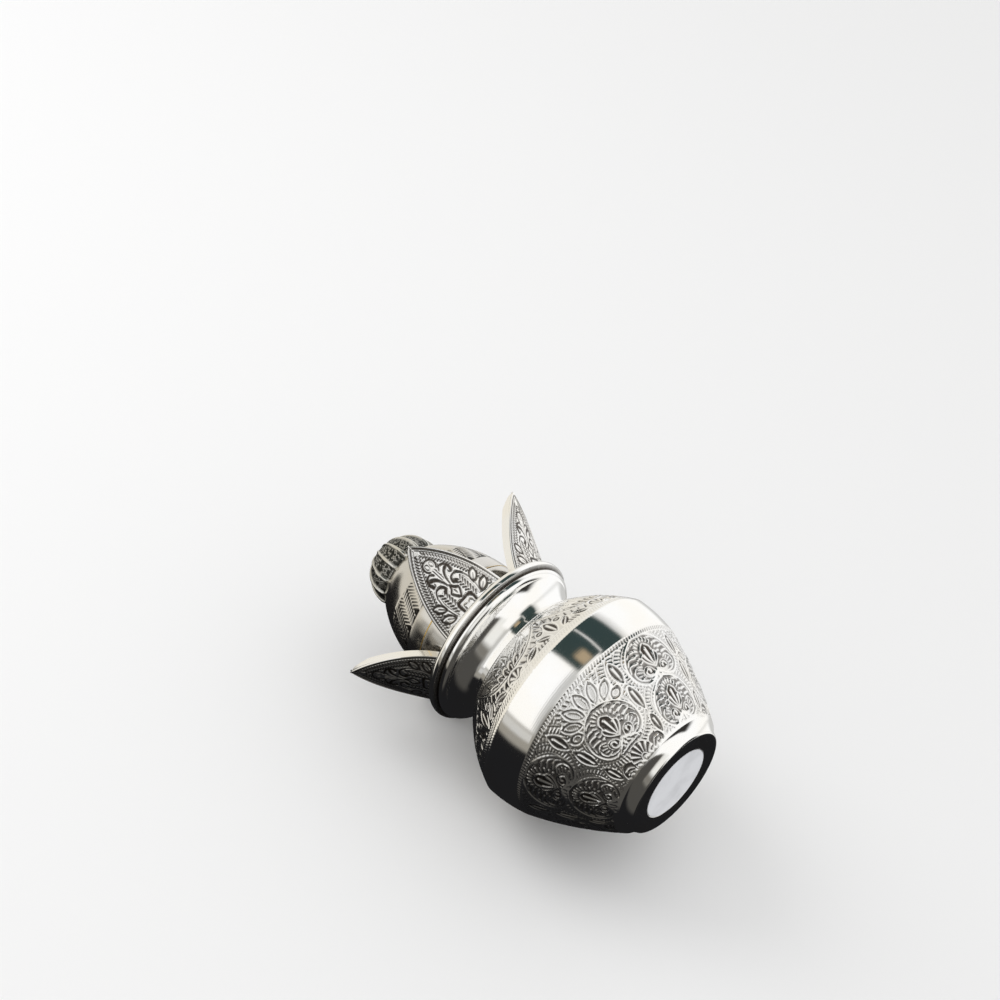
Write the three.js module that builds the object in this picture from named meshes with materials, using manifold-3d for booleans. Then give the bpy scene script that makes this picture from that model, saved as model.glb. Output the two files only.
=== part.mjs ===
// A kalash: a spun metal pot, a crown of five leaves that drops into its mouth, and a hollow
// coconut that stands in the crown. Millimetres, +Z up, origin at the centre of the foot.
// The pot and the coconut are revolved, the tuft is fluted, and the leaves are swept sheet trays.
import * as THREE from 'three';
import { mergeVertices } from 'three/addons/utils/BufferGeometryUtils.js';
import Module from 'manifold-3d';

const wasm = await Module();
wasm.setup();

// Main sizes. The pot's height is to its rim, and the coconut's is from the ledge that it stands
// on to its top. The pot's shoulder and the coconut's upper shell take what the rest leaves.
const POT_HEIGHT = 110.6;
const COCONUT_HEIGHT = 97.7;

// Pot: radii are the outside of the metal, and each rise is a stretch of the pot's height
const FOOT_RADIUS = 27.3;
const FOOT_ROUNDING = 0.5;
const FOOT_BAND_RADIUS = 31.3;
const FOOT_BAND_RISE = 5.6;
const FOOT_BAND_HOLLOW = 0.5;
const SEAM_RADIUS = 52;
const BOWL_RISE = 40.2;
const BOWL_BULGE = 1.5;
const BELLY_RADIUS = 54;
const BELLY_RISE = 17.9;
const BELLY_BULGE = 0.8;
const NECK_RADIUS = 31.9;
const SHOULDER_BULGE = 2.4;
const FLARE_WIDTH = 6.4;
const FLARE_RISE = 10.2;
const FLARE_HOLLOW = 1.2;
const POT_WALL = 1.2;
const POT_FLOOR = 1.8;

// Rolled lip: a lower bead, a groove and an upper band
const BEAD_WIDTH = 2.6;
const BEAD_RISE = 3.4;
const BEAD_BULGE = 0.8;
const GROOVE_DEPTH = 0.6;
const GROOVE_RISE = 0.9;
const BAND_WIDTH = 2.4;
const BAND_RISE = 3.3;
const BAND_BULGE = 0.45;
const LIP_THICKNESS = 3.4;

// Half-lap joints, where one spun shell stands inside the other
const POT_LAP = 4;
const COCONUT_LAP = 3;
const LAP_SHEET = 1.1;
const LAP_CLEARANCE = 0.35;

// Blank paper label, let into the underside
const LABEL_RADIUS = 18;
const LABEL_THICKNESS = 0.4;
const LABEL_CLEARANCE = 0.3;

// Crown collar: a funnel that rests on the pot's flared mouth, and a skirt with a ledge below it
const COLLAR_SHEET = 1.2;
const SEAT_GAP = 0.3;
const NECK_CLEARANCE = 0.6;
const FUNNEL_START = 0.2;
const FUNNEL_END = 0.85;
const SKIRT_DEPTH = 6.2;
const LEDGE_HOLE_RADIUS = 20;

// Leaves: a pointed blade with its sides folded in, on a foot that lies in the funnel
const LEAF_COUNT = 5;
const LEAF_TIP_RADIUS = 58.9;
const LEAF_TIP_RISE = 34;
const LEAF_BEND_RADIUS = 38.6;
const LEAF_BEND_RISE = 7.2;
const LEAF_HALF_WIDTH = 20;
const LEAF_OGIVE_LENGTH = 48;
const LEAF_TIP_HALF_WIDTH = 0.5;
const LEAF_SHEET = 1.2;
const LEAF_FOLD_DEPTH = 4.5;
const LEAF_FOLD_TIP_DEPTH = 1.8;
const LEAF_FOLD_SLOPE = 0.35;
const LEAF_FOLD_CORNER = 0.25;
const LEAF_TIP_WALL_SHARE = 0.4;
const LEAF_TIP_CORNER_SHARE = 0.1;
const LEAF_FOOT_START = 0.3;
const LEAF_FOOT_HALF_WIDTH = 9;
const FIRST_LEAF_ANGLE = Math.PI / 2;

// Rivets: one through each leaf's foot, flush outside and domed inside
const RIVET_RADIUS = 1.3;
const RIVET_CLEARANCE = 0.3;
const RIVET_HEAD_RADIUS = 2.4;
const RIVET_HEAD_HEIGHT = 0.9;
const RIVET_HEAD_BULGE = 0.23;
const RIVET_SHARE = 0.55;

// Coconut: a spigot, two spun shells and a fluted tuft. Its spigot is loose in the collar, and
// stands off the middle of the ledge.
const COCONUT_SHIFT = 2;
const COCONUT_SHIFT_ANGLE = -0.124;
const SPIGOT_RADIUS = 24;
const SPIGOT_RISE = 14.8;
const COCONUT_RADIUS = 30.9;
const COCONUT_LOWER_RISE = 24.7;
const COCONUT_LOWER_BULGE = 2.7;
const COCONUT_UPPER_BULGE = 3.5;
const COCONUT_WALL = 1.1;
const TUFT_RADIUS = 17.5;
const TUFT_SWELL = 0.6;
const TUFT_SIDE_RISE = 3.2;
const TUFT_DOME_RISE = 17;
const TUFT_DOME_END = 0.85;
const TUFT_WALL = 2.6;
const TUFT_BOSS_RADIUS = 2.4;
const TUFT_BOSS_RISE = 0.9;
const TUFT_PLUG_RADIUS = 13;
const TUFT_PLUG_DEPTH = 3.5;
const TUFT_PLUG_CLEARANCE = 0.3;
const TUFT_RIBS = 14;
const TUFT_GROOVE_DEPTH = 0.9;

// Facets
const SPIN_STEPS = 40;
const ARC_STEPS = 6;
const SHORT_ARC_STEPS = 3;
const FLARE_SAMPLES = 40;
const RIB_STEPS = 4;
const TUFT_DOME_STEPS = 4;
const LEAF_BLADE_STEPS = 9;
const LEAF_FOOT_STEPS = 3;
const LEAF_FACE_STEPS = 3;
const RIVET_STEPS = 10;
const RIVET_HEAD_STEPS = 2;

const FINISH = {
  pot: { color: 0xdcdad4, roughness: 0.16, metalness: 1 },
  leaf: { color: 0xd6d4cf, roughness: 0.22, metalness: 1 },
  coconut: { color: 0xb9b6b0, roughness: 0.3, metalness: 1 },
  tuft: { color: 0x8f8c86, roughness: 0.38, metalness: 1 },
  inside: { color: 0xb8a98a, roughness: 0.35, metalness: 1 },
  paper: { color: 0xe2e3e6, roughness: 0.55, metalness: 0 },
};

/** Points on the circular arc from a to b, its middle `bulge` to the right of the straight way. */
function arc(a, b, bulge, steps) {
  const [dx, dz] = [b[0] - a[0], b[1] - a[1]];
  const chord = Math.hypot(dx, dz);
  const radius = (chord ** 2 / 4 + bulge ** 2) / (2 * Math.abs(bulge));
  const half = Math.asin(chord / (2 * radius));
  const side = Math.sign(bulge);
  return Array.from({ length: steps + 1 }, (_, i) => {
    const turn = half * ((2 * i) / steps - 1);
    const along = (radius * Math.sin(turn)) / chord + 0.5;
    const out = (side * radius * (Math.cos(turn) - Math.cos(half))) / chord;
    return [a[0] + dx * along + dz * out, a[1] + dz * along - dx * out];
  });
}

/** Unit direction from point i of a climbing profile towards its axis side. */
function inwardAt(points, i) {
  const before = points[Math.max(i - 1, 0)];
  const after = points[Math.min(i + 1, points.length - 1)];
  const [dx, dz] = [after[0] - before[0], after[1] - before[1]];
  const length = Math.hypot(dx, dz);
  return [-dz / length, dx / length];
}

/** A point moved by `distance` along a direction. */
function moved(point, direction, distance) {
  return [point[0] + direction[0] * distance, point[1] + direction[1] * distance];
}

/** The climbing profile moved by `distance` towards the axis side. */
function inset(points, distance) {
  return points.map((point, i) => moved(point, inwardAt(points, i), distance));
}

/** Revolves a profile, outside upwards; one that starts off the axis is closed on itself. */
function spin(profile, steps = SPIN_STEPS) {
  const onAxis = profile[0][0] === 0;
  const loop = onAxis ? profile : [...profile, profile[0]];
  const points = loop.map(([r, z]) => new THREE.Vector2(r, z));
  return new THREE.LatheGeometry(points, steps).rotateX(Math.PI / 2);
}

/** A closed geometry as a solid that can be cut. */
function toSolid(geometry) {
  const bare = geometry.clone();
  bare.deleteAttribute('normal');
  bare.deleteAttribute('uv');
  const merged = mergeVertices(bare, 1e-4);
  const vertProperties = new Float32Array(merged.attributes.position.array);
  const triVerts = new Uint32Array(merged.index.array);
  return new wasm.Manifold(new wasm.Mesh({ numProp: 3, vertProperties, triVerts }));
}

/** A cut solid back as a geometry. */
function toGeometry(solid) {
  const { vertProperties, triVerts } = solid.getMesh();
  const geometry = new THREE.BufferGeometry();
  geometry.setAttribute('position', new THREE.BufferAttribute(new Float32Array(vertProperties), 3));
  geometry.setIndex(new THREE.BufferAttribute(new Uint32Array(triVerts), 1));
  geometry.computeVertexNormals();
  return geometry;
}

function piece(name, geometry, finish) {
  const mesh = new THREE.Mesh(geometry, new THREE.MeshStandardMaterial(finish));
  mesh.name = name;
  return mesh;
}

// Heights of the pot, from the floor up
const footTop = FOOT_BAND_RISE;
const seamHeight = footTop + BOWL_RISE;
const bellyHeight = seamHeight + BELLY_RISE;
const lipRise = BEAD_RISE + GROOVE_RISE + GROOVE_DEPTH + BAND_RISE;
const neckHeight = POT_HEIGHT - lipRise - FLARE_RISE;
const flareTop = [NECK_RADIUS + FLARE_WIDTH, neckHeight + FLARE_RISE];
const flare = arc([NECK_RADIUS, neckHeight], flareTop, -FLARE_HOLLOW, ARC_STEPS);

/** Underside, foot band and lower bowl, with the lap that stands inside the upper shell. */
function potBowl() {
  const pocketRadius = LABEL_RADIUS + LABEL_CLEARANCE;
  const bowl = arc([FOOT_BAND_RADIUS, footTop], [SEAM_RADIUS, seamHeight], BOWL_BULGE, ARC_STEPS);
  const lapRadius = SEAM_RADIUS - POT_WALL - LAP_CLEARANCE;
  const inner = inset(bowl, POT_WALL).slice(1, -1).reverse();
  const foot = [FOOT_RADIUS, FOOT_ROUNDING];
  return spin([
    [0, LABEL_THICKNESS],
    [pocketRadius, LABEL_THICKNESS],
    [pocketRadius, 0],
    [FOOT_RADIUS - FOOT_ROUNDING, 0],
    ...arc(foot, bowl[0], -FOOT_BAND_HOLLOW, SHORT_ARC_STEPS).slice(0, -1),
    ...bowl,
    [lapRadius, seamHeight],
    [lapRadius, seamHeight + POT_LAP],
    [lapRadius - LAP_SHEET, seamHeight + POT_LAP],
    [lapRadius - LAP_SHEET, seamHeight],
    ...inner,
    [FOOT_BAND_RADIUS - POT_WALL, footTop + FOOT_ROUNDING],
    [FOOT_RADIUS - POT_WALL, LABEL_THICKNESS + POT_FLOOR],
    [0, LABEL_THICKNESS + POT_FLOOR],
  ]);
}

/** Belly band and shoulder, up to the crease of the neck. */
function potShoulder() {
  const seam = [SEAM_RADIUS, seamHeight];
  const belly = arc(seam, [BELLY_RADIUS, bellyHeight], BELLY_BULGE, SHORT_ARC_STEPS);
  const shoulder = arc(belly.at(-1), flare[0], SHOULDER_BULGE, ARC_STEPS);
  return spin([
    ...belly.slice(0, -1),
    ...shoulder,
    [NECK_RADIUS - POT_WALL, neckHeight],
    ...inset(shoulder, POT_WALL).slice(1, -1).reverse(),
    [BELLY_RADIUS - POT_WALL, bellyHeight],
    ...inset(belly, POT_WALL).slice(1, -1).reverse(),
    [SEAM_RADIUS - POT_WALL, seamHeight],
  ]);
}

/** Flared neck and rolled lip, brazed onto the shoulder at the crease. */
function potNeck() {
  const beadTop = [flareTop[0] + BEAD_WIDTH, flareTop[1] + BEAD_RISE];
  const bead = arc(flareTop, beadTop, BEAD_BULGE, SHORT_ARC_STEPS);
  const groove = [beadTop[0] - GROOVE_DEPTH, beadTop[1] + GROOVE_RISE];
  const bandFoot = [beadTop[0] - GROOVE_DEPTH + BAND_WIDTH, groove[1] + GROOVE_DEPTH];
  const bandTop = [bandFoot[0] - BAND_BULGE, bandFoot[1] + BAND_RISE];
  const band = arc(bandFoot, bandTop, BAND_BULGE, SHORT_ARC_STEPS);
  const mouthRadius = bandFoot[0] - LIP_THICKNESS;
  return spin([
    ...flare.slice(0, -1),
    ...bead,
    groove,
    ...band,
    [mouthRadius, band.at(-1)[1]],
    [mouthRadius, flareTop[1] + POT_WALL + BEAD_BULGE],
    ...inset(flare, POT_WALL).slice(1).reverse(),
    [NECK_RADIUS - POT_WALL, neckHeight],
  ]);
}

function baseLabel() {
  return spin([[0, 0], [LABEL_RADIUS, 0], [LABEL_RADIUS, LABEL_THICKNESS], [0, LABEL_THICKNESS]]);
}

/** Point and inward direction at a share of the flare, `depth` inside the pot's outer face. */
function flarePoint(share, depth) {
  const fine = arc(flare[0], flareTop, -FLARE_HOLLOW, FLARE_SAMPLES);
  const i = Math.round(share * FLARE_SAMPLES);
  const inward = inwardAt(fine, i);
  return { at: moved(fine[i], inward, depth), inward };
}

const collarDepth = POT_WALL + SEAT_GAP;
const leafFootDepth = collarDepth + COLLAR_SHEET + SEAT_GAP;
const skirtRadius = NECK_RADIUS - POT_WALL - NECK_CLEARANCE;
const ledgeHeight = neckHeight - SKIRT_DEPTH + COLLAR_SHEET;
const leafTurn = (2 * Math.PI) / LEAF_COUNT;
const leafAngles = Array.from({ length: LEAF_COUNT }, (_, i) => FIRST_LEAF_ANGLE + i * leafTurn);
const faceShares = Array.from({ length: LEAF_FACE_STEPS + 1 }, (_, j) => (2 * j) / LEAF_FACE_STEPS - 1);

/** A spun bar along the rivet line of the leaf at `angle`, its foot `depth` inside the pot's face. */
function rivetBar(angle, profile, depth) {
  const { at, inward } = flarePoint(RIVET_SHARE, depth);
  const bar = spin(profile, RIVET_STEPS);
  const tilt = Math.atan2(inward[0], inward[1]);
  return bar.rotateY(tilt).translate(at[0], 0, at[1]).rotateZ(angle);
}

function rivetHole(angle) {
  const reach = leafFootDepth + LEAF_SHEET + SEAT_GAP;
  const radius = RIVET_RADIUS + RIVET_CLEARANCE;
  return toSolid(rivetBar(angle, [[0, -1], [radius, -1], [radius, reach], [0, reach]], POT_WALL));
}

/** Funnel, skirt and ledge, with a hole for each rivet. */
function crownCollar() {
  const outer = inset(flare, collarDepth);
  const inner = inset(flare, collarDepth + COLLAR_SHEET);
  const [first, last] = [Math.ceil(FUNNEL_START * ARC_STEPS), Math.floor(FUNNEL_END * ARC_STEPS)];
  const bottom = ledgeHeight - COLLAR_SHEET;
  const body = spin([
    [LEDGE_HOLE_RADIUS, bottom],
    [skirtRadius, bottom],
    [skirtRadius, neckHeight + SEAT_GAP],
    ...outer.slice(first, last + 1),
    ...inner.slice(first, last + 1).reverse(),
    [skirtRadius - COLLAR_SHEET, neckHeight + COLLAR_SHEET],
    [skirtRadius - COLLAR_SHEET, ledgeHeight],
    [LEDGE_HOLE_RADIUS, ledgeHeight],
  ]);
  return toGeometry(leafAngles.reduce((solid, angle) => solid.subtract(rivetHole(angle)), toSolid(body)));
}

/** The leaf's outer face along its middle, from the tip down to the end of the foot. */
function leafSpine() {
  const root = flarePoint(FUNNEL_END, leafFootDepth).at;
  const blade = new THREE.QuadraticBezierCurve(
    new THREE.Vector2(LEAF_TIP_RADIUS, POT_HEIGHT + LEAF_TIP_RISE),
    new THREE.Vector2(LEAF_BEND_RADIUS, POT_HEIGHT + LEAF_BEND_RISE),
    new THREE.Vector2(...root),
  );
  const stations = blade.getSpacedPoints(LEAF_BLADE_STEPS).map((p) => ({ at: [p.x, p.y], foot: 0 }));
  for (let i = 1; i <= LEAF_FOOT_STEPS; i++) {
    const share = FUNNEL_END + (i / LEAF_FOOT_STEPS) * (LEAF_FOOT_START - FUNNEL_END);
    stations.push({ at: flarePoint(share, leafFootDepth).at, foot: i / LEAF_FOOT_STEPS });
  }
  return stations;
}

/** Half the width of the blade at a way `s` down from the tip: two arcs that meet in a point. */
function ogiveHalfWidth(s) {
  const radius = (LEAF_OGIVE_LENGTH ** 2 + LEAF_HALF_WIDTH ** 2) / (2 * LEAF_HALF_WIDTH);
  const left = Math.max(LEAF_OGIVE_LENGTH - s, 0);
  const width = LEAF_HALF_WIDTH - radius + Math.sqrt(radius ** 2 - left ** 2);
  return Math.max(width, LEAF_TIP_HALF_WIDTH);
}

/** One leaf as a tray: a curved face with folded sides, open towards the coconut. */
function leaf(angle) {
  const spine = leafSpine();
  const middle = spine.map(({ at }) => at);
  let way = 0;
  const rows = spine.map(({ at, foot }, i) => {
    way += i ? Math.hypot(at[0] - middle[i - 1][0], at[1] - middle[i - 1][1]) : 0;
    const half = ogiveHalfWidth(way) * (1 - foot) + LEAF_FOOT_HALF_WIDTH * foot;
    const folded = Math.min(LEAF_FOLD_DEPTH, LEAF_FOLD_TIP_DEPTH + LEAF_FOLD_SLOPE * way);
    const fold = i < LEAF_BLADE_STEPS ? folded : LEAF_SHEET;
    const wall = Math.min(LEAF_SHEET, LEAF_TIP_WALL_SHARE * half);
    const face = half - wall - Math.min(LEAF_FOLD_CORNER, LEAF_TIP_CORNER_SHARE * half);
    const columns = faceShares.map((share) => share * face);
    const across = [-half, wall - half, ...columns, half - wall, half];
    const depths = across.map((y) => (Math.abs(y) > face ? fold : LEAF_SHEET));
    return { at, inward: inwardAt(middle, i).map((part) => -part), across, depths };
  });
  const place = ({ at, inward }, y, depth) => {
    const turn = angle + y / at[0];
    const [radius, height] = moved(at, inward, depth);
    return [radius * Math.cos(turn), radius * Math.sin(turn), height];
  };
  const faces = rows.map((row) => row.across.map((y) => place(row, y, 0)));
  const backs = rows.map((row) => row.across.map((y, j) => place(row, y, row.depths[j])));
  return toGeometry(toSolid(closedGrid(faces, backs)).subtract(rivetHole(angle)));
}

/** A solid between two grids of points, with its four sides closed. */
function closedGrid(faces, backs) {
  const [rows, columns] = [faces.length, faces[0].length];
  const at = (layer, i, j) => (layer * rows + i) * columns + j;
  const index = [];
  const quad = (a, b, c, d) => index.push(a, b, c, a, c, d);
  for (let i = 0; i < rows - 1; i++) {
    for (let j = 0; j < columns - 1; j++) {
      quad(at(0, i, j), at(0, i + 1, j), at(0, i + 1, j + 1), at(0, i, j + 1));
      quad(at(1, i, j), at(1, i, j + 1), at(1, i + 1, j + 1), at(1, i + 1, j));
    }
    quad(at(0, i, 0), at(1, i, 0), at(1, i + 1, 0), at(0, i + 1, 0));
    quad(at(0, i, columns - 1), at(0, i + 1, columns - 1), at(1, i + 1, columns - 1), at(1, i, columns - 1));
  }
  for (let j = 0; j < columns - 1; j++) {
    quad(at(0, 0, j), at(0, 0, j + 1), at(1, 0, j + 1), at(1, 0, j));
    quad(at(0, rows - 1, j), at(1, rows - 1, j), at(1, rows - 1, j + 1), at(0, rows - 1, j + 1));
  }
  const geometry = new THREE.BufferGeometry();
  geometry.setAttribute('position', new THREE.Float32BufferAttribute([faces, backs].flat(3), 3));
  geometry.setIndex(index);
  return geometry;
}

/** Flush at the funnel's outside, through the leaf's foot, with a domed head. */
function leafRivet(angle) {
  const shank = COLLAR_SHEET + SEAT_GAP + LEAF_SHEET + RIVET_CLEARANCE;
  const top = [0, shank + RIVET_HEAD_HEIGHT];
  return rivetBar(angle, [
    [0, 0],
    [RIVET_RADIUS, 0],
    [RIVET_RADIUS, shank],
    ...arc([RIVET_HEAD_RADIUS, shank], top, RIVET_HEAD_BULGE, RIVET_HEAD_STEPS).slice(0, -1),
    top,
  ], collarDepth);
}

// Heights of the coconut, from the ledge that it stands on
const spigotTop = ledgeHeight + SPIGOT_RISE;
const coconutSeam = spigotTop + COCONUT_LOWER_RISE;
const domeTop = ledgeHeight + COCONUT_HEIGHT - TUFT_BOSS_RISE;
const shoulderHeight = domeTop - TUFT_DOME_RISE;
const tuftFoot = shoulderHeight - TUFT_SIDE_RISE;

/** Open spigot and lower shell. */
function coconutLower() {
  const seam = [COCONUT_RADIUS, coconutSeam];
  const shell = arc([SPIGOT_RADIUS, spigotTop], seam, COCONUT_LOWER_BULGE, ARC_STEPS);
  return spin([
    [SPIGOT_RADIUS, ledgeHeight],
    ...shell,
    [COCONUT_RADIUS - COCONUT_WALL, coconutSeam],
    ...inset(shell, COCONUT_WALL).slice(1, -1).reverse(),
    [SPIGOT_RADIUS - COCONUT_WALL, spigotTop],
    [SPIGOT_RADIUS - COCONUT_WALL, ledgeHeight],
  ]);
}

/** Upper shell, with a lap down into the lower one and a hole for the tuft's plug. */
function coconutUpper() {
  const shell = arc([COCONUT_RADIUS, coconutSeam], [TUFT_RADIUS, tuftFoot], COCONUT_UPPER_BULGE, ARC_STEPS);
  const lapRadius = COCONUT_RADIUS - COCONUT_WALL - LAP_CLEARANCE;
  const holeRadius = TUFT_PLUG_RADIUS + TUFT_PLUG_CLEARANCE;
  return spin([
    [lapRadius - LAP_SHEET, coconutSeam - COCONUT_LAP],
    [lapRadius, coconutSeam - COCONUT_LAP],
    [lapRadius, coconutSeam],
    ...shell,
    [holeRadius, tuftFoot],
    [holeRadius, tuftFoot - COCONUT_WALL],
    ...inset(shell, COCONUT_WALL + LAP_CLEARANCE).slice(1, -1).reverse(),
    [lapRadius - LAP_SHEET, coconutSeam],
  ]);
}

/** How far the tuft is cut in at an angle: none on a rib, all of it half way between two. */
function grooveShare(angle) {
  return (1 - Math.cos(TUFT_RIBS * angle)) / 2;
}

/** Fluted cap, hollow from below, with a plug in the upper shell's hole. */
function coconutTuft() {
  const domeRadius = TUFT_RADIUS + TUFT_SWELL;
  const plugBore = TUFT_PLUG_RADIUS - TUFT_WALL;
  const dome = (radius, rise) => Array.from({ length: TUFT_DOME_STEPS + 1 }, (_, i) => {
    const turn = ((i / TUFT_DOME_STEPS) * TUFT_DOME_END * Math.PI) / 2;
    return [radius * Math.cos(turn), shoulderHeight + rise * Math.sin(turn)];
  });
  const ribbed = [[TUFT_RADIUS, tuftFoot + TUFT_GROOVE_DEPTH], ...dome(domeRadius, TUFT_DOME_RISE)];
  const profile = [
    [0, domeTop - TUFT_WALL],
    ...dome(domeRadius - TUFT_WALL, TUFT_DOME_RISE - TUFT_WALL).reverse(),
    [plugBore, shoulderHeight],
    [plugBore, tuftFoot - TUFT_PLUG_DEPTH],
    [TUFT_PLUG_RADIUS, tuftFoot - TUFT_PLUG_DEPTH],
    [TUFT_PLUG_RADIUS, tuftFoot],
    [TUFT_RADIUS - TUFT_GROOVE_DEPTH, tuftFoot],
    ...ribbed,
    [TUFT_BOSS_RADIUS, domeTop],
    [0, domeTop + TUFT_BOSS_RISE],
  ];
  const geometry = spin(profile, TUFT_RIBS * RIB_STEPS);
  const place = geometry.attributes.position;
  const [first, last] = [profile.indexOf(ribbed[0]), profile.indexOf(ribbed.at(-1))];
  for (let i = 0; i < place.count; i++) {
    const along = i % profile.length;
    if (along < first || along > last) continue;
    const [x, y] = [place.getX(i), place.getY(i)];
    const radius = Math.hypot(x, y);
    const cut = (TUFT_GROOVE_DEPTH * grooveShare(Math.atan2(y, x)) * radius) / domeRadius;
    place.setXY(i, x * (1 - cut / radius), y * (1 - cut / radius));
  }
  return geometry;
}

const pot = new THREE.Group();
pot.add(
  piece('pot_bowl', potBowl(), FINISH.pot),
  piece('pot_shoulder', potShoulder(), FINISH.pot),
  piece('pot_neck', potNeck(), FINISH.pot),
  piece('base_label', baseLabel(), FINISH.paper),
);

const crown = new THREE.Group();
crown.add(piece('crown_collar', crownCollar(), FINISH.inside));
leafAngles.forEach((angle, i) => {
  crown.add(
    piece(`leaf_${i + 1}`, leaf(angle), FINISH.leaf),
    piece(`leaf_rivet_${i + 1}`, leafRivet(angle), FINISH.inside),
  );
});

const coconut = new THREE.Group();
coconut.add(
  piece('coconut_lower', coconutLower(), FINISH.coconut),
  piece('coconut_upper', coconutUpper(), FINISH.coconut),
  piece('coconut_tuft', coconutTuft(), FINISH.tuft),
);
const side = new THREE.Vector3(Math.cos(COCONUT_SHIFT_ANGLE), Math.sin(COCONUT_SHIFT_ANGLE), 0);
coconut.position.copy(side.multiplyScalar(COCONUT_SHIFT));

const kalash = new THREE.Group();
kalash.add(pot, crown, coconut);

export default kalash;
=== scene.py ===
"""Looks of a silver kalash: an engraved pot, a crown of five leaf trays and a coconut with a fluted tuft.

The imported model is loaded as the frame. Each spun shell and each leaf is built again with its real
engraving as geometry, in millimetres, and then takes the place of its plain solid.
"""

import logging
import math
from collections.abc import Callable
from dataclasses import dataclass, field
from enum import Enum

import bpy
import numpy as np
from mathutils import Euler, Matrix, Vector


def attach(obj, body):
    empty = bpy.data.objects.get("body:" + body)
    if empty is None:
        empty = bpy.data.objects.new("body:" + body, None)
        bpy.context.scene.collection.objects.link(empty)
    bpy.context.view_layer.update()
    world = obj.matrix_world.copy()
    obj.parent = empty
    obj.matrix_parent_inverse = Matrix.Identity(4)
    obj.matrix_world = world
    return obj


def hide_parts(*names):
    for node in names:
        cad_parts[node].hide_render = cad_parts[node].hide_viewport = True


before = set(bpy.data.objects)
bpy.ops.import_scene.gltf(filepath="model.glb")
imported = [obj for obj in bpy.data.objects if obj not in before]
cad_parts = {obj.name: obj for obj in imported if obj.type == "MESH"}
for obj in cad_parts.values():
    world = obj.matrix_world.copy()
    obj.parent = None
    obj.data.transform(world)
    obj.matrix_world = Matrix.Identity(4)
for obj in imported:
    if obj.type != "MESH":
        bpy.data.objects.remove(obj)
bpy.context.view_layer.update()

MM = 0.001
FRONT_DEG = 82.9
LOG = logging.getLogger("kalash")
Point = tuple[float, float]
BELLY: Point = (54.0, 63.7)
NECK: Point = (31.9, 92.2)
FLARE_TOP: Point = (38.3, 102.4)
FLARE_BULGE = -1.2
MERGE_MM = 0.002
SHARP_DEG = 50
LEAF_SHARP_DEG = 60


# ---------------------------------------------------------------- curves in the flat, in millimetres


def arc(a: Point, b: Point, bulge: float, steps: int) -> np.ndarray:
    """Points on a circular arc.

    Args:
        a: first point.
        b: last point.
        bulge: how far the arc's middle stands to the right of the straight way.
        steps: number of stretches.

    Returns:
        The points, one row each.
    """
    a, b = np.array(a, float), np.array(b, float)
    way = b - a
    chord = math.hypot(*way)
    radius = (chord**2 / 4 + bulge**2) / (2 * abs(bulge))
    half = math.asin(chord / (2 * radius))
    turn = half * (2 * np.arange(steps + 1) / steps - 1)
    along = radius * np.sin(turn) / chord + 0.5
    out = math.copysign(radius, bulge) * (np.cos(turn) - math.cos(half)) / chord
    return a + np.outer(along, way) + np.outer(out, (way[1], -way[0]))


def curve(*points: Point, steps: int = 6) -> np.ndarray:
    """A smooth line through points.

    Args:
        *points: what the line passes through.
        steps: number of stretches between each two points.

    Returns:
        The line's points.
    """
    p = np.array(points, float)
    if len(p) == 2:
        return p
    p = np.vstack([2 * p[0] - p[1], p, 2 * p[-1] - p[-2]])
    t = np.linspace(0, 1, steps, endpoint=False)[:, None]
    parts = []
    for a, b, c, d in zip(p[:-3], p[1:-2], p[2:-1], p[3:]):
        parts.append(0.5 * (2 * b + (c - a) * t + (2 * a - 5 * b + 4 * c - d) * t**2
                            + (3 * b - 3 * c + d - a) * t**3))
    return np.vstack([*parts, p[-2:-1]])


def loop(centre: Point, size: Point, start: float = 0, end: float = 360, steps: int = 28) -> np.ndarray:
    """Points on an ellipse from one angle to another, in degrees."""
    turn = np.radians(np.linspace(start, end, steps + 1))
    return np.array(centre) + np.stack([size[0] * np.cos(turn), size[1] * np.sin(turn)], 1)


def blade(root: Point, tip: Point, width: float, steps: int = 7) -> np.ndarray:
    """Outline of a pointed leaf.

    Args:
        root: where it starts.
        tip: its far point.
        width: its greatest width.
        steps: number of stretches on each side.

    Returns:
        The outline from the root to the tip and back.
    """
    there = arc(root, tip, width / 2, steps)
    back = arc(tip, root, width / 2, steps)
    return np.vstack([there, back[1:]])


def climb(points: np.ndarray) -> np.ndarray:
    """Way along a line at each of its points."""
    return np.r_[0, np.cumsum(np.hypot(*np.diff(points, axis=0).T))]


def along(line: np.ndarray, way: np.ndarray, where: np.ndarray | float) -> np.ndarray:
    """The places that lie given ways along a line."""
    return np.stack([np.interp(where, way, line[:, k]) for k in (0, 1)], -1)


def unit_ways(points: np.ndarray) -> np.ndarray:
    """The direction of a line at each of its points."""
    way = np.gradient(points, axis=0)
    return way / np.hypot(*way.T)[:, None]


# ---------------------------------------------------------------- flat drawings of the engraving


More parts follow.
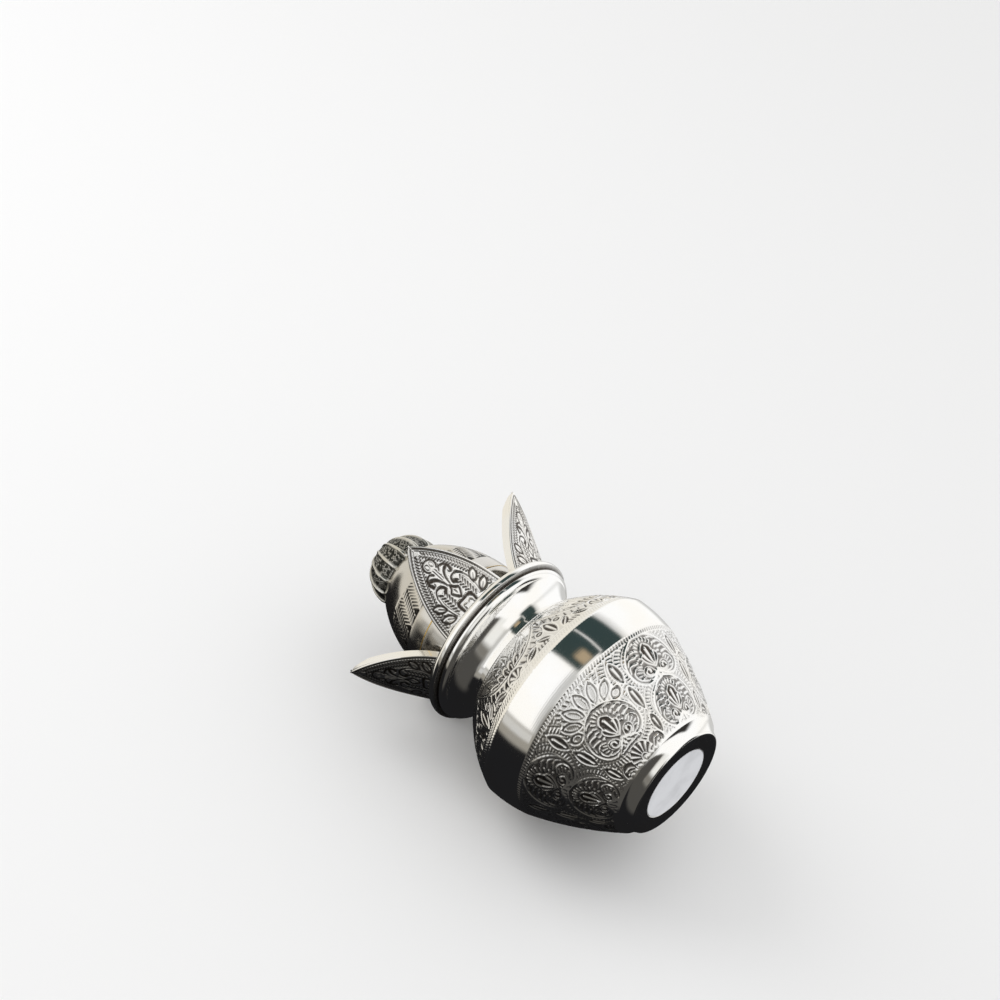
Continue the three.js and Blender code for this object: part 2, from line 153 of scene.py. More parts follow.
class Sheet:
    """A flat drawing of engraved ornament: `ridge` is the bright line work, `dark` the sunk ground."""

    PER_MM = 7
    SOFT = 0.24

    def __init__(self, width: float, height: float, wraps: bool = False, left: float = 0) -> None:
        """Makes an empty sheet.

        Args:
            width: across, in millimetres.
            height: up, in millimetres.
            wraps: whether its right edge joins its left one.
            left: the x of its left edge.
        """
        self.rows, self.columns = round(height * self.PER_MM), round(width * self.PER_MM)
        self.step = width / self.columns
        self.width, self.left, self.wraps = width, left, wraps
        self.ridge = np.zeros((self.rows, self.columns), np.float32)
        self.dark = np.zeros((self.rows, self.columns), np.float32)

    def _window(self, low: np.ndarray, high: np.ndarray) -> tuple:
        """Finds the cells between two corners.

        Args:
            low: the lower left corner.
            high: the upper right corner.

        Returns:
            Index pair, and the x and y of the cells.
        """
        c0, c1 = (int(math.floor((v - self.left) / self.step)) for v in (low[0], high[0]))
        r0, r1 = (int(math.floor(v * self.PER_MM)) for v in (low[1], high[1]))
        rows = np.arange(max(r0, 0), min(r1 + 1, self.rows))
        cols = np.arange(c0, c1 + 1) if self.wraps else np.arange(max(c0, 0), min(c1 + 1, self.columns))
        x, y = self.left + (cols + 0.5) * self.step, (rows + 0.5) / self.PER_MM
        return np.ix_(rows, cols % self.columns), x[None, :], y[:, None]

    def _cover(self, points: np.ndarray, width: float, tip: float | None) -> tuple | None:
        """Finds the cells under a line.

        Args:
            points: the line, one point a row.
            width: its width at the start.
            tip: its width at the end, or None for the same width.

        Returns:
            Index pair and the covered share of each cell, or None where the line is off the sheet.
        """
        p = np.asarray(points, float)
        half = np.linspace(width, width if tip is None else tip, len(p)) / 2
        reach = half.max() + self.SOFT
        at, x, y = self._window(p.min(0) - reach, p.max(0) + reach)
        if at[0].size == 0 or at[1].size == 0:
            return None
        a, d, h = p[:-1, :, None, None], np.diff(p, axis=0)[:, :, None, None], half[:, None, None]
        t = ((x - a[:, 0]) * d[:, 0] + (y - a[:, 1]) * d[:, 1]) / ((d**2).sum(1) + 1e-9)
        t = np.clip(t, 0, 1)
        gap = np.hypot(x - a[:, 0] - t * d[:, 0], y - a[:, 1] - t * d[:, 1]) - h[:-1] - t * (h[1:] - h[:-1])
        return at, np.clip(0.5 - gap.min(0) / self.SOFT, 0, 1)

    def stroke(self, points: np.ndarray, width: float, tip: float | None = None) -> None:
        """Draws a bright line.

        Args:
            points: the line.
            width: its width at the start.
            tip: its width at the end, or None for the same width.
        """
        found = self._cover(points, width, tip)
        if found:
            self.ridge[found[0]] = np.maximum(self.ridge[found[0]], found[1])

    def groove(self, points: np.ndarray, width: float, tip: float | None = None, tone: float = 1.0) -> None:
        """Cuts a dark line.

        Args:
            points: the line.
            width: its width at the start.
            tip: its width at the end, or None for the same width.
            tone: how dark it is.
        """
        found = self._cover(points, width, tip)
        if found:
            self.dark[found[0]] = np.maximum(self.dark[found[0]], found[1] * tone)
            self.ridge[found[0]] *= 1 - found[1]

    def inside(self, points: np.ndarray) -> tuple:
        """Finds what a closed outline holds.

        Args:
            points: the outline.

        Returns:
            Index pair of the cells round it, and 1 for each cell inside and 0 for the others.
        """
        p = np.asarray(points, float)
        at, x, y = self._window(p.min(0), p.max(0))
        a, b = p[:, :, None, None], np.roll(p, -1, 0)[:, :, None, None]
        crosses = (a[:, 1] > y) != (b[:, 1] > y)
        rise = np.where(b[:, 1] == a[:, 1], 1e-9, b[:, 1] - a[:, 1])
        hit = crosses & (x < (b[:, 0] - a[:, 0]) * (y - a[:, 1]) / rise + a[:, 0])
        return at, (hit.sum(0) % 2).astype(np.float32)

    def sink(self, points: np.ndarray, tone: float) -> None:
        """Sinks the ground inside an outline to a tone, and wipes what was drawn there.

        Args:
            points: the outline.
            tone: how dark the ground becomes.
        """
        at, inner = self.inside(points)
        if at[0].size == 0 or at[1].size == 0:
            return
        self.dark[at] = inner * tone + (1 - inner) * self.dark[at]
        self.ridge[at] *= 1 - inner

    def band(self, low: float, high: float, tone: float) -> None:
        """Sinks everything between two heights to a tone."""
        self.sink(np.array([(0, low), (self.width, low), (self.width, high), (0, high)]), tone)

    def ring(self, y: float, width: float) -> None:
        """Draws a bright line all the way across."""
        self.stroke(np.array([(0, y), (self.width, y)]), width)

    def read(self, x: np.ndarray, y: np.ndarray) -> tuple[np.ndarray, np.ndarray]:
        """Line work and ground at points, smoothed over one cell.

        Args:
            x: across, in millimetres.
            y: up, in millimetres.

        Returns:
            The ridge and the dark value at each point.
        """
        found = []
        for layer in (self.ridge, self.dark):
            pad = "wrap" if self.wraps else "edge"
            soft = np.pad(layer, ((0, 0), (1, 1)), mode=pad)
            soft = (soft[:, :-2] + 2 * soft[:, 1:-1] + soft[:, 2:]) / 4
            soft = np.pad(soft, ((1, 1), (0, 0)), mode="edge")
            soft = (soft[:-2] + 2 * soft[1:-1] + soft[2:]) / 4
            c = (x - self.left) / self.step - 0.5
            r = np.clip(y * self.PER_MM - 0.5, 0, self.rows - 1.001)
            c = c % self.columns if self.wraps else np.clip(c, 0, self.columns - 1.001)
            c0, r0 = np.floor(c).astype(int), np.floor(r).astype(int)
            fc, fr = c - c0, r - r0
            c0, c1 = c0 % self.columns, (c0 + 1) % self.columns
            found.append((soft[r0, c0] * (1 - fc) + soft[r0, c1] * fc) * (1 - fr)
                         + (soft[r0 + 1, c0] * (1 - fc) + soft[r0 + 1, c1] * fc) * fr)
        return found[0], found[1]


@dataclass
class Pen:
    """Draws on a sheet round a centre, turned, scaled and perhaps mirrored."""

    sheet: Sheet
    centre: Point = (0.0, 0.0)
    scale: Point = (1.0, 1.0)
    turn: float = 0.0

    def place(self, points: np.ndarray) -> np.ndarray:
        """Brings points of the motif onto the sheet.

        Args:
            points: points of the motif.

        Returns:
            The same points on the sheet.
        """
        c, s = math.cos(math.radians(self.turn)), math.sin(math.radians(self.turn))
        p = np.asarray(points, float) * self.scale
        return p @ np.array([[c, s], [-s, c]]) + self.centre

    def stroke(self, points: np.ndarray, width: float = 0.5, tip: float | None = None) -> None:
        """A bright line."""
        self.sheet.stroke(self.place(points), width, tip)

    def groove(self, points: np.ndarray, width: float = 0.5, tip: float | None = None,
               tone: float = 1.0) -> None:
        """A dark cut."""
        self.sheet.groove(self.place(points), width, tip, tone)

    def sink(self, points: np.ndarray, tone: float, outline: float = 0) -> None:
        """Sinks a shape.

        Args:
            points: its outline.
            tone: how dark its ground becomes.
            outline: width of the bright line round it, or 0 for none.
        """
        placed = self.place(points)
        self.sheet.sink(placed, tone)
        if outline:
            self.sheet.stroke(np.vstack([placed, placed[:1]]), outline)

    def turned(self, degrees: float, up: float = 0.0) -> "Pen":
        """A pen turned clockwise by some degrees, its centre moved up."""
        return Pen(self.sheet, (self.centre[0], self.centre[1] + up), self.scale, -degrees)

    def both(self, draw: Callable[["Pen"], None]) -> None:
        """Draws with this pen and with its mirror image."""
        for side in (1, -1):
            draw(Pen(self.sheet, self.centre, (self.scale[0] * side, self.scale[1]), self.turn))


def herringbone(mark: Callable[[np.ndarray, float, float], None], line: np.ndarray, reach: float,
                pitch: float, width: float = 0.42) -> None:
    """Pairs of short slanted marks along a line.

    Args:
        mark: the pen's stroke or groove.
        line: the stem, one point a row.
        reach: how far each mark stands out from the stem.
        pitch: way along the stem from pair to pair.
        width: width of a mark at its outer end.
    """
    way = climb(line)
    for s in np.arange(pitch / 2, way[-1], pitch):
        at = along(line, way, s)
        on = along(line, way, min(s + 0.1, way[-1])) - at
        on = on / (np.hypot(*on) + 1e-9)
        for side in (1, -1):
            out = side * np.array([-on[1], on[0]])
            mark(np.array([at + 0.25 * reach * out, at + on * reach * 0.8 + reach * out]), width * 0.7, width)


def medallion(pen: Pen) -> None:
    """An onion-shaped ring that holds a palmette, an arch of short strokes and two volutes.

    Args:
        pen: a pen at the ring's middle.
    """
    right = curve((0, 10.9), (4.6, 9.5), (8.8, 6.7), (12.0, 2.6), (13.4, -2.2), (12.3, -7.4), (8.6, -10.3),
                  (4.4, -9.9), (1.8, -8.2), (0, -6.8))
    pen.sink(np.vstack([right, (right * (-1, 1))[::-1]]), 0.85)
    for degrees in np.linspace(-14, 194, 15):
        way = np.array([math.cos(math.radians(degrees)), math.sin(math.radians(degrees))])
        pen.stroke(np.array([way * (4.9, 6.6), way * (6.1, 8.2)]) + (0, 0.6), 0.55, 0.95)
    pen.sink(curve((0, -5.3), (3.0, -2.6), (4.3, 0.4), (2.9, 2.0), (2.5, 4.2), (0, 6.0), (-2.5, 4.2),
                   (-2.9, 2.0), (-4.3, 0.4), (-3.0, -2.6), (0, -5.3)), 1.0, outline=0.6)
    for foot, head in (((0, -4.4), (0, 3.7)), ((-0.5, -4.0), (-2.6, 0.9)), ((0.5, -4.0), (2.6, 0.9))):
        pen.stroke(curve(foot, ((foot[0] + head[0]) * 0.62, -1.4), head), 0.4, 1.25)

    def half(side: Pen) -> None:
        """Draws what lies on one side.

        Args:
            side: the pen, or its mirror image.
        """
        side.stroke(right, 1.0)
        side.stroke(curve((0.5, -6.4), (3.2, -8.9), (7.4, -9.0), (10.9, -6.7), (11.2, -3.4), (8.8, -1.7),
                          (6.6, -2.7)), 0.65)
        side.sink(curve((1.7, -6.9), (3.0, -4.6), (5.6, -3.7), (7.3, -5.0), (6.9, -7.2), (4.9, -8.5),
                        (2.9, -8.2), (1.7, -6.9)), 1.0, outline=0.4)
        side.stroke(curve((1.9, -7.0), (3.4, -7.9), (5.4, -7.5), (6.2, -6.1), (5.3, -4.9), (3.9, -5.3),
                          (3.9, -6.4)), 0.6, 0.95)
        for near, far in (((7.7, -7.3), (9.7, -7.3)), ((7.9, -6.1), (10.1, -5.5)), ((7.8, -4.8), (9.9, -3.7)),
                          ((7.2, -3.9), (8.6, -2.8))):
            side.stroke(np.array([near, far]), 0.4, 0.6)
        side.stroke(curve((12.4, -2.6), (11.0, 0.1), (7.4, -0.3)), 0.45, 1.0)
        side.stroke(curve((11.5, 0.7), (9.8, 2.7), (6.8, 2.3)), 0.45, 1.05)
        side.stroke(curve((9.9, 3.8), (8.4, 5.0), (6.3, 4.9)), 0.4, 1.0)
        side.stroke(curve((7.3, 6.7), (5.9, 7.6), (4.2, 7.9)), 0.35, 0.8)
        side.stroke(np.array([(0.1, -7.0), (2.3, -10.6)]), 0.5)

    pen.both(half)
    for y in (-8.6, -9.9):
        pen.stroke(loop((0, y), (0.8, 0.7), 20, 160, 6), 0.4)


def lotus_fan(pen: Pen) -> None:
    """Petals with double outlines that open upwards over a medallion.

    Args:
        pen: a pen at the fan's foot.
    """
    for degrees, near, far in ((-66, 9.6, 16.2), (66, 9.6, 16.2), (-44, 8.4, 18.2), (44, 8.4, 18.2),
                               (-23, 7.8, 18.9), (23, 7.8, 18.9), (0, 7.4, 18.4)):
        petal = pen.turned(degrees)
        petal.sink(blade((0, near), (0, far), 4.9), 0.9, outline=0.75)
        petal.sink(blade((0, near + 1.5), (0, far - 1.9), 2.5), 0.3, outline=0.4)
        for y in np.arange(near + 2.6, far - 2.6, 0.85):
            petal.groove(np.array([(-0.7, y - 0.15), (0.7, y + 0.15)]), 0.28, tone=0.8)


def half_sun(pen: Pen) -> None:
    """A half sun that stands on the foot band, with a dark bulb at each side.

    Args:
        pen: a pen at the sun's foot.
    """

    def bulb(side: Pen) -> None:
        """Draws one bulb.

        Args:
            side: the pen, or its mirror image.
        """
        side.sink(curve((5.6, 0.2), (7.2, 4.6), (11.0, 6.2), (14.6, 4.2), (15.2, 0.2), (5.6, 0.2)), 0.9,
                  outline=0.6)
        side.stroke(curve((8.0, 1.4), (10.4, 3.4), (13.2, 3.4)), 0.35, 0.9)
        side.stroke(curve((9.6, 1.0), (11.4, 1.9), (13.6, 1.7)), 0.3, 0.7)

    pen.both(bulb)
    pen.sink(np.vstack([loop((0, 0.4), (7.6, 7.8), 12, 168, 14), [(-7.4, 0.2), (7.4, 0.2)]]), 0.95,
             outline=0.5)
    for degrees in (-69, -46, -23, 0, 23, 46, 69):
        ray = pen.turned(degrees)
        ray.stroke(np.array([(0, 3.2), (0, 7.0)]), 0.45, 1.35)
    pen.sink(loop((0, 0.4), (2.2, 2.2), steps=14), 0.5, outline=0.45)
    pen.groove(np.array([(-6.2, 8.6), (6.2, 8.6)]), 0.7)
    pen.stroke(np.array([(-7.0, 9.3), (7.0, 9.3)]), 0.55)


@dataclass
class BowlOrnament:
    """The engraving of the lower bowl: medallions, lotus fans and half suns on feathered ground."""

    height: float = 45.3
    mean_radius: float = 41.0
    single_degrees: tuple[float, ...] = (1.5, 96.0, 181.0, 265.5)
    pair_degrees: tuple[float, ...] = (49.0, 138.5, 223.5, 313.0)
    single_height: float = 21.4
    pair_heights: Point = (33.2, 12.2)
    ring_half: Point = (13.4, 10.6)
    ring_mean: float = 12.0
    ground: float = 0.62

    def across(self, degrees: float) -> float:
        """Millimetres across the sheet of an angle from the front."""
        return math.radians(degrees) * self.mean_radius

    def centres(self) -> list[Point]:
        """Finds the middles of the medallions.

        Returns:
            Their places on the sheet.
        """
        found = [(self.across(d), self.single_height) for d in self.single_degrees]
        return found + [(self.across(d), up) for d in self.pair_degrees for up in self.pair_heights]

    def feathers(self, sheet: Sheet, pitch: float = 1.6, row: float = 3.3) -> None:
        """Fills the ground with rows of slanted strokes that follow the medallions.

        Args:
            sheet: the bowl's drawing.
            pitch: way from stroke to stroke.
            row: height of a row.
        """
        x = sheet.left + (np.arange(sheet.columns) + 0.5) * sheet.step
        y = (np.arange(sheet.rows) + 0.5) / sheet.PER_MM
        around = sheet.columns * sheet.step
        best = np.full((sheet.rows, sheet.columns), 99.0)
        turn = np.zeros_like(best)
        for cx, cy in self.centres():
            dx = ((x - cx + around / 2) % around - around / 2)[None, :] / self.ring_half[0]
            dy = (y - cy)[:, None] / self.ring_half[1]
            rho = np.hypot(dx, dy)
            turn = np.where(rho < best, np.arctan2(dy, dx), turn)
            best = np.minimum(best, rho)
        out = (best - 1) * self.ring_mean / row
        index = np.floor(out)
        share = out - index
        count = np.round(2 * math.pi * (self.ring_mean + (index + 0.5) * row) / pitch)
        slant = np.where(index % 2 == 0, 2.4, -2.4) * share
        wave = np.cos(turn * count + slant)
        strokes = np.clip((wave + 0.15) * 1.8, 0, 1)
        strokes = strokes * np.clip(np.minimum(share - 0.2, 0.95 - share) * 9, 0, 1)
        rows = np.clip(1.3 - np.abs(share - 0.07) * 14, 0, 1)
        sheet.ridge = np.maximum(strokes, rows).astype(np.float32)
        sheet.dark[:] = self.ground

    def draw(self) -> Sheet:
        """Draws the bowl once round.

        Returns:
            The drawing.
        """
        around = 2 * math.pi * self.mean_radius
        sheet = Sheet(around, self.height, wraps=True)
        self.feathers(sheet)
        for degrees in self.single_degrees:
            for side in (-1, 1):
                at = self.across(degrees + side * 23.5)
                for low, high in ((15.6, 28.4), (29.6, 41.2), (3.2, 13.6)):
                    gap = Pen(sheet, (at, 0))
                    gap.sink(blade((0, low), (0, high), 4.6), 0.95, outline=0.7)
                    gap.stroke(np.array([(0, low + 2.0), (0, high - 3.0)]), 0.5, 1.1)
            lotus_fan(Pen(sheet, (self.across(degrees), 24.4)))
            half_sun(Pen(sheet, (self.across(degrees), 0.8)))
        for centre in self.centres():
            medallion(Pen(sheet, centre))
        sheet.band(43.4, 46, 0.7)
        for x in np.arange(0, around, 1.34):
            sheet.stroke(np.array([(x, 43.8), (x + 0.6, 45.0)]), 0.65)
        sheet.ring(43.1, 0.55)
        bottom = np.arange(0, around, 0.4)
        wave = np.stack([bottom, 0.9 + 0.8 * np.abs(np.sin(bottom * math.pi / 3.1))], 1)
        sheet.sink(np.vstack([wave, [(around, -0.1), (0, -0.1)]]), 0.0)
        for k in range(0, len(wave) - 8, 8):
            sheet.stroke(wave[k:k + 9], 0.5)
        return sheet


@dataclass
class ShoulderOrnament:
    """The engraving of the shoulder: swags of long petals over shells, with leaves between."""

    height: float = 36.5
    mean_radius: float = 45.0
    repeats: int = 6
    first_degrees: float = -8.0

    def motif(self, pen: Pen, width: float) -> None:
        """One swag with its shell, its fan of petals and the leaves beside it.

        Args:
            pen: a pen at the shell's foot.
            width: room that the motif has across.
        """
        half = width / 2
        swag = curve((2.8, 9.3), (9, 10.8), (14.4, 14.4), (19.2, 19.6), (half, 25.2))
        pen.sink(np.array([(-half, 3.4), (half, 3.4), (half, 25.4), (-half, 25.4)]), 0.12)
        self.fan(pen)
        lower = swag - (0, 0.4)
        pen.sink(np.vstack([lower, [(half, 3.4), (-half, 3.4)], (lower * (-1, 1))[::-1]]), 0.3)

        def side(p: Pen) -> None:
            """Draws what lies on one side.

            Args:
                p: the pen, or its mirror image.
            """
            p.stroke(swag, 0.85)
            p.groove(swag + (0, 0.85), 0.6)
            p.stroke(swag + (0, 1.5), 0.5)
            for k in range(9):
                at = swag[min(2 + 3 * k, len(swag) - 2)]
                p.groove(np.array([at + (0.2, -0.9), at + (1.3, -3.0 - 0.25 * k)]), 0.6, 1.1)
            p.sink(blade((6.6, 3.9), (13.8, 7.9), 3.9), 1.0, outline=0.65)
            p.stroke(curve((7.6, 4.6), (10, 5.9), (12.6, 7.3)), 0.8, 0.4)
            p.sink(blade((20.6, 4.2), (15.0, 9.6), 3.7), 1.0, outline=0.65)
            p.stroke(curve((19.8, 4.9), (18, 6.8), (15.9, 8.8)), 0.75, 0.4)
            for k in range(4):
                p.groove(np.array([(12.9 + 1.6 * k, 3.9), (13.5 + 1.6 * k, 5.6)]), 0.7)
            p.sink(loop((half - 5.0, 12.2), (1.9, 1.9), steps=14), 1.0, outline=0.6)
            p.stroke(np.array([(half - 5.6, 12.2), (half - 4.4, 12.2)]), 0.6)
            p.sink(blade((half, 4.4), (half, 16.4), 5.0), 1.0, outline=0.7)
            p.stroke(np.array([(half, 6.0), (half, 13.4)]), 0.6, 1.2)

        pen.both(side)
        pen.sink(np.vstack([loop((0, 5.6), (4.4, 4.3), -20, 200, 18), [(0, 2.9)]]), 1.0, outline=0.75)
        for degrees in (-56, -28, 0, 28, 56):
            petal = pen.turned(degrees, 3.0)
            petal.stroke(np.array([(0, 1.2), (0, 5.4 - abs(degrees) / 40)]), 0.4, 1.35)

    def fan(self, pen: Pen) -> None:
        """Long petals over the shell, dark between their feet and fine lines further up.

        Args:
            pen: a pen at the shell's foot.
        """
        for degrees in np.linspace(-68, 68, 9):
            ray = pen.turned(degrees, 2.0)
            reach = min(23.0 / max(math.cos(math.radians(degrees)), 0.2), 28.0)
            petal = blade((0, 10.0), (0, reach), 5.2)
            ray.sink(petal, 0.05)
            ray.groove(petal, 0.45, tone=0.6)
            ray.groove(np.array([(0, 16.0), (0, reach - 2.2)]), 0.4, 0.3, 0.4)
        for degrees in np.linspace(-76, 76, 10):
            ray = pen.turned(degrees, 2.0)
            reach = min(14.2 / max(math.cos(math.radians(degrees)), 0.2), 20.0)
            ray.sink(blade((0, 6.4), (0, reach), 4.0), 1.0, outline=0.75)
            ray.stroke(np.array([(0, 8.2), (0, reach - 2.6)]), 0.3, 0.8)

    def draw(self) -> Sheet:
        """Draws the shoulder once round.

        Returns:
            The drawing.
        """
        around = 2 * math.pi * self.mean_radius
        sheet = Sheet(around, self.height, wraps=True)
        width = around / self.repeats
        for k in range(self.repeats):
            at = math.radians(self.first_degrees) * self.mean_radius + k * width
            self.motif(Pen(sheet, (at, 0)), width)
        sheet.band(0, 3.2, 0.32)
        for row, shift in ((0.8, 0.0), (2.1, 0.65)):
            for x in np.arange(0, around, 1.3):
                sheet.stroke(np.array([(x + shift, row - 0.25), (x + shift + 0.15, row + 0.25)]), 0.75)
        sheet.ring(3.2, 0.5)
        sheet.band(25.4, 27.6, 0.3)
        for x in np.arange(0, around, 1.5):
            sheet.stroke(np.array([(x, 26.5), (x + 0.1, 26.5)]), 0.95)
        sheet.ring(25.3, 0.45)
        sheet.ring(27.7, 0.45)
        return sheet


@dataclass
class LeafOrnament:
    """The engraving of a leaf's face. Here y runs down from the leaf's tip."""

    half_width: float = 20.0
    ogive: float = 48.0
    length: float = 52.0

    def half_at(self, s: np.ndarray) -> np.ndarray:
        """Reckons the leaf's width.

        Args:
            s: way down from its tip.

        Returns:
            Half the width there.
        """
        radius = (self.ogive**2 + self.half_width**2) / (2 * self.half_width)
        left = np.maximum(self.ogive - np.asarray(s, float), 0)
        return np.maximum(self.half_width - radius + np.sqrt(radius**2 - left**2), 0.5)

    def edge(self, off: float, start: float, end: float, steps: int = 30) -> np.ndarray:
        """A line that keeps its distance from the leaf's right edge."""
        s = np.linspace(start, end, steps + 1)
        return np.stack([np.maximum(self.half_at(s) - off, 0.0), s], 1)

    def side(self, pen: Pen) -> None:
        """Cuts what lies to the right of the leaf's middle.

        Args:
            pen: a pen at the leaf's tip.
        """
        pen.groove(self.edge(1.5, 2.0, 51), 0.75)
        pen.groove(self.edge(2.9, 3.4, 51), 0.45, tone=0.8)
        for s in np.arange(5.0, 50, 1.2):
            x = float(self.half_at(s))
            pen.groove(np.array([(x - 2.0, s), (x - 2.6, s + 0.4)]), 0.3, tone=0.7)
        herringbone(pen.groove, self.edge(5.0, 7.0, 37.5)[::-1], 1.25, 1.35, 0.85)
        pen.groove(curve((1.6, 17.4), (2.9, 15.9), (5.0, 16.5), (6.1, 18.7), (5.7, 20.9)), 0.8, 1.7)
        pen.groove(curve((5.7, 20.9), (4.9, 21.2), (4.3, 20.2)), 0.9, 0.5)
        pen.groove(curve((4.5, 18.2), (2.7, 19.4), (1.3, 22.0), (0.7, 25.0)), 1.8, 0.5)
        pen.groove(curve((3.5, 26.3), (2.4, 25.2), (3.4, 23.2), (6.2, 22.9), (8.2, 25.4)), 1.6, 0.8)
        pen.groove(curve((8.2, 25.4), (9.0, 29.4), (8.7, 33.2), (7.7, 37.0)), 0.5)
        pen.groove(curve((7.1, 26.0), (7.8, 29.4), (7.5, 33.2), (6.9, 37.0)), 0.35, tone=0.8)
        herringbone(pen.groove, np.array([(5.1, 37.0), (5.1, 26.4)]), 1.55, 1.6, 0.95)
        for root, tip in (((8.9, 31.6), (13.2, 26.4)), ((8.5, 37.0), (14.4, 32.6)),
                          ((9.0, 42.6), (15.0, 38.6))):
            drop = blade(root, tip, 3.3)
            pen.sink(drop, 0.05)
            pen.groove(np.vstack([drop, drop[:1]]), 1.0)
            pen.groove(np.array([root, 0.45 * np.array(root) + 0.55 * np.array(tip)]), 0.6, 0.4)
        pen.groove(curve((0.9, 10.0), (2.2, 8.0), (1.3, 6.0)), 0.6, 0.3)
        pen.groove(curve((2.6, 38.6), (2.2, 36.2), (0.6, 36.4)), 0.6)

    def draw(self) -> Sheet:
        """Draws one leaf's face.

        Returns:
            The drawing.
        """
        sheet = Sheet(2 * self.half_width + 4, self.length, left=-self.half_width - 2)
        sheet.dark[:] = 0.02
        pen = Pen(sheet)
        for row in np.arange(6.0, 51.0, 1.5):
            reach = float(self.half_at(row)) - 3.2
            for x in np.arange(-reach, reach, 1.6):
                lean = 0.5 * math.sin(12.9 * x + 7.3 * row)
                pen.groove(np.array([(x + lean, row), (x + lean + 0.45, row + 0.6 + lean)]), 0.3, 0.2, 0.16)
        pen.both(self.side)
        pen.sink(loop((0, 13.0), (3.2, 3.2), steps=20), 0.1)
        pen.groove(loop((0, 13.1), (3.0, 3.0), 130, 410, 24), 0.95)
        for x in (-1.2, 1.2):
            pen.groove(loop((x, 13.0), (0.9, 1.3), steps=10), 0.4, tone=0.8)
            pen.groove(np.array([(x * 0.5, 16.0), (x * 0.45, 21.6)]), 0.4, 0.3)
        spade = curve((0, 25.4), (0.9, 27.4), (2.3, 28.8), (1.2, 31.0), (0, 32.6))
        outline = np.vstack([spade, (spade * (-1, 1))[::-1]])
        pen.sink(outline, 0.05)
        pen.groove(outline, 1.1)
        pen.groove(np.array([(0, 28.4), (0, 30.2)]), 0.7, 0.3)
        pen.groove(curve((-3.9, 38.2), (-4.1, 35.0), (-3.0, 33.9), (0, 33.9), (3.0, 33.9), (4.1, 35.0),
                         (3.9, 38.2)), 1.5)
        return sheet


@dataclass
class SprayOrnament:
    """The engraved band of the coconut: slanted leaf sprays, close together."""

    height: float = 15.6
    mean_radius: float = 28.4
    repeats: int = 20

    def draw(self) -> Sheet:
        """Draws the band once round the coconut.

        Returns:
            The drawing.
        """
        around = 2 * math.pi * self.mean_radius
        sheet = Sheet(around, self.height, wraps=True)
        sheet.band(0.5, 15.1, 1.0)
        pitch = around / self.repeats
        line = curve((-4.4, 0.2), (-1.6, 4.6), (0.6, 9.0), (3.4, 14.2))
        for k in range(self.repeats):
            spray = Pen(sheet, ((k + 0.5) * pitch, 0.6))
            spray.stroke(line, 0.6)
            for at in line[1::2]:
                for side in (1, -1):
                    spray.stroke(np.array([at, at + (side * 3.0 + 0.8, 2.2 - side * 1.5)]), 1.15, 0.45)
                spray.stroke(np.array([at + (4.7, 0.2), at + (5.0, 0.7)]), 0.6)
        for y in (0.4, 15.2):
            sheet.ring(y, 0.5)
        return sheet


# ---------------------------------------------------------------- meshes


def deselect() -> None:
    """Leaves nothing selected, so that an operator acts on its own piece only."""
    for other in bpy.context.selected_objects:
        other.select_set(False)


def grid_piece(name: str, rows: int, columns: int) -> bpy.types.Object:
    """Adds a flat grid of quads, selected and active.

    Args:
        name: the piece's name.
        rows: number of rows of points.
        columns: number of quads across.

    Returns:
        The new object, its points one row after the other.
    """
    deselect()
    bpy.ops.mesh.primitive_grid_add(x_subdivisions=columns, y_subdivisions=rows - 1, size=1)
    piece = bpy.context.active_object
    piece.name = name
    piece.data.name = name
    return piece


def set_points(piece: bpy.types.Object, places: np.ndarray, tone: np.ndarray) -> None:
    """Moves every point of a piece.

    Args:
        piece: the piece.
        places: the points' places in millimetres.
        tone: how dark the engraving is at each point.
    """
    piece.data.vertices.foreach_set("co", (places.reshape(-1, 3) * MM).astype(np.float32).ravel())
    layer = piece.data.attributes.new("tone", "FLOAT", "POINT")
    layer.data.foreach_set("value", tone.astype(np.float32).ravel())
    piece.data.update()


def lathe(name: str, profile: np.ndarray, columns: int) -> bpy.types.Object:
    """Draws a profile point by point and turns it round the Z axis.

    Args:
        name: the piece's name.
        profile: radius and height of its points, in millimetres.
        columns: number of faces round the axis.

    Returns:
        The new piece, its doubles merged.
    """
    deselect()
    bpy.ops.mesh.primitive_plane_add(size=MM)
    piece = bpy.context.active_object
    piece.name = name
    piece.data.name = name
    bpy.ops.object.mode_set(mode="EDIT")
    bpy.ops.mesh.merge(type="CENTER")
    bpy.ops.transform.translate(value=(float(profile[0][0]) * MM, 0, float(profile[0][1]) * MM))
    for out, up in np.diff(profile, axis=0) * MM:
        bpy.ops.mesh.extrude_vertices_move(TRANSFORM_OT_translate={"value": (float(out), 0, float(up))})
    bpy.ops.object.mode_set(mode="OBJECT")
    bpy.ops.object.modifier_add(type="SCREW")
    screw = piece.modifiers[-1]
    screw.axis, screw.angle, screw.screw_offset = "Z", 2 * math.pi, 0
    screw.steps = screw.render_steps = columns
    bpy.ops.object.modifier_apply(modifier=screw.name)
    bpy.ops.object.mode_set(mode="EDIT")
    bpy.ops.mesh.select_all(action="SELECT")
    bpy.ops.mesh.remove_doubles(threshold=MERGE_MM * MM)
    bpy.ops.mesh.normals_make_consistent(inside=False)
    bpy.ops.object.mode_set(mode="OBJECT")
    return piece


def round_points(piece: bpy.types.Object) -> tuple[np.ndarray, np.ndarray, np.ndarray]:
    """Reads a piece's points as points round the Z axis.

    Args:
        piece: the piece.

    Returns:
        Their radius, azimuth and height, in millimetres and radians.
    """
    flat = np.empty(len(piece.data.vertices) * 3, np.float32)
    piece.data.vertices.foreach_get("co", flat)
    x, y, z = flat.reshape(-1, 3).astype(float).T / MM
    return np.hypot(x, y), np.arctan2(y, x), z


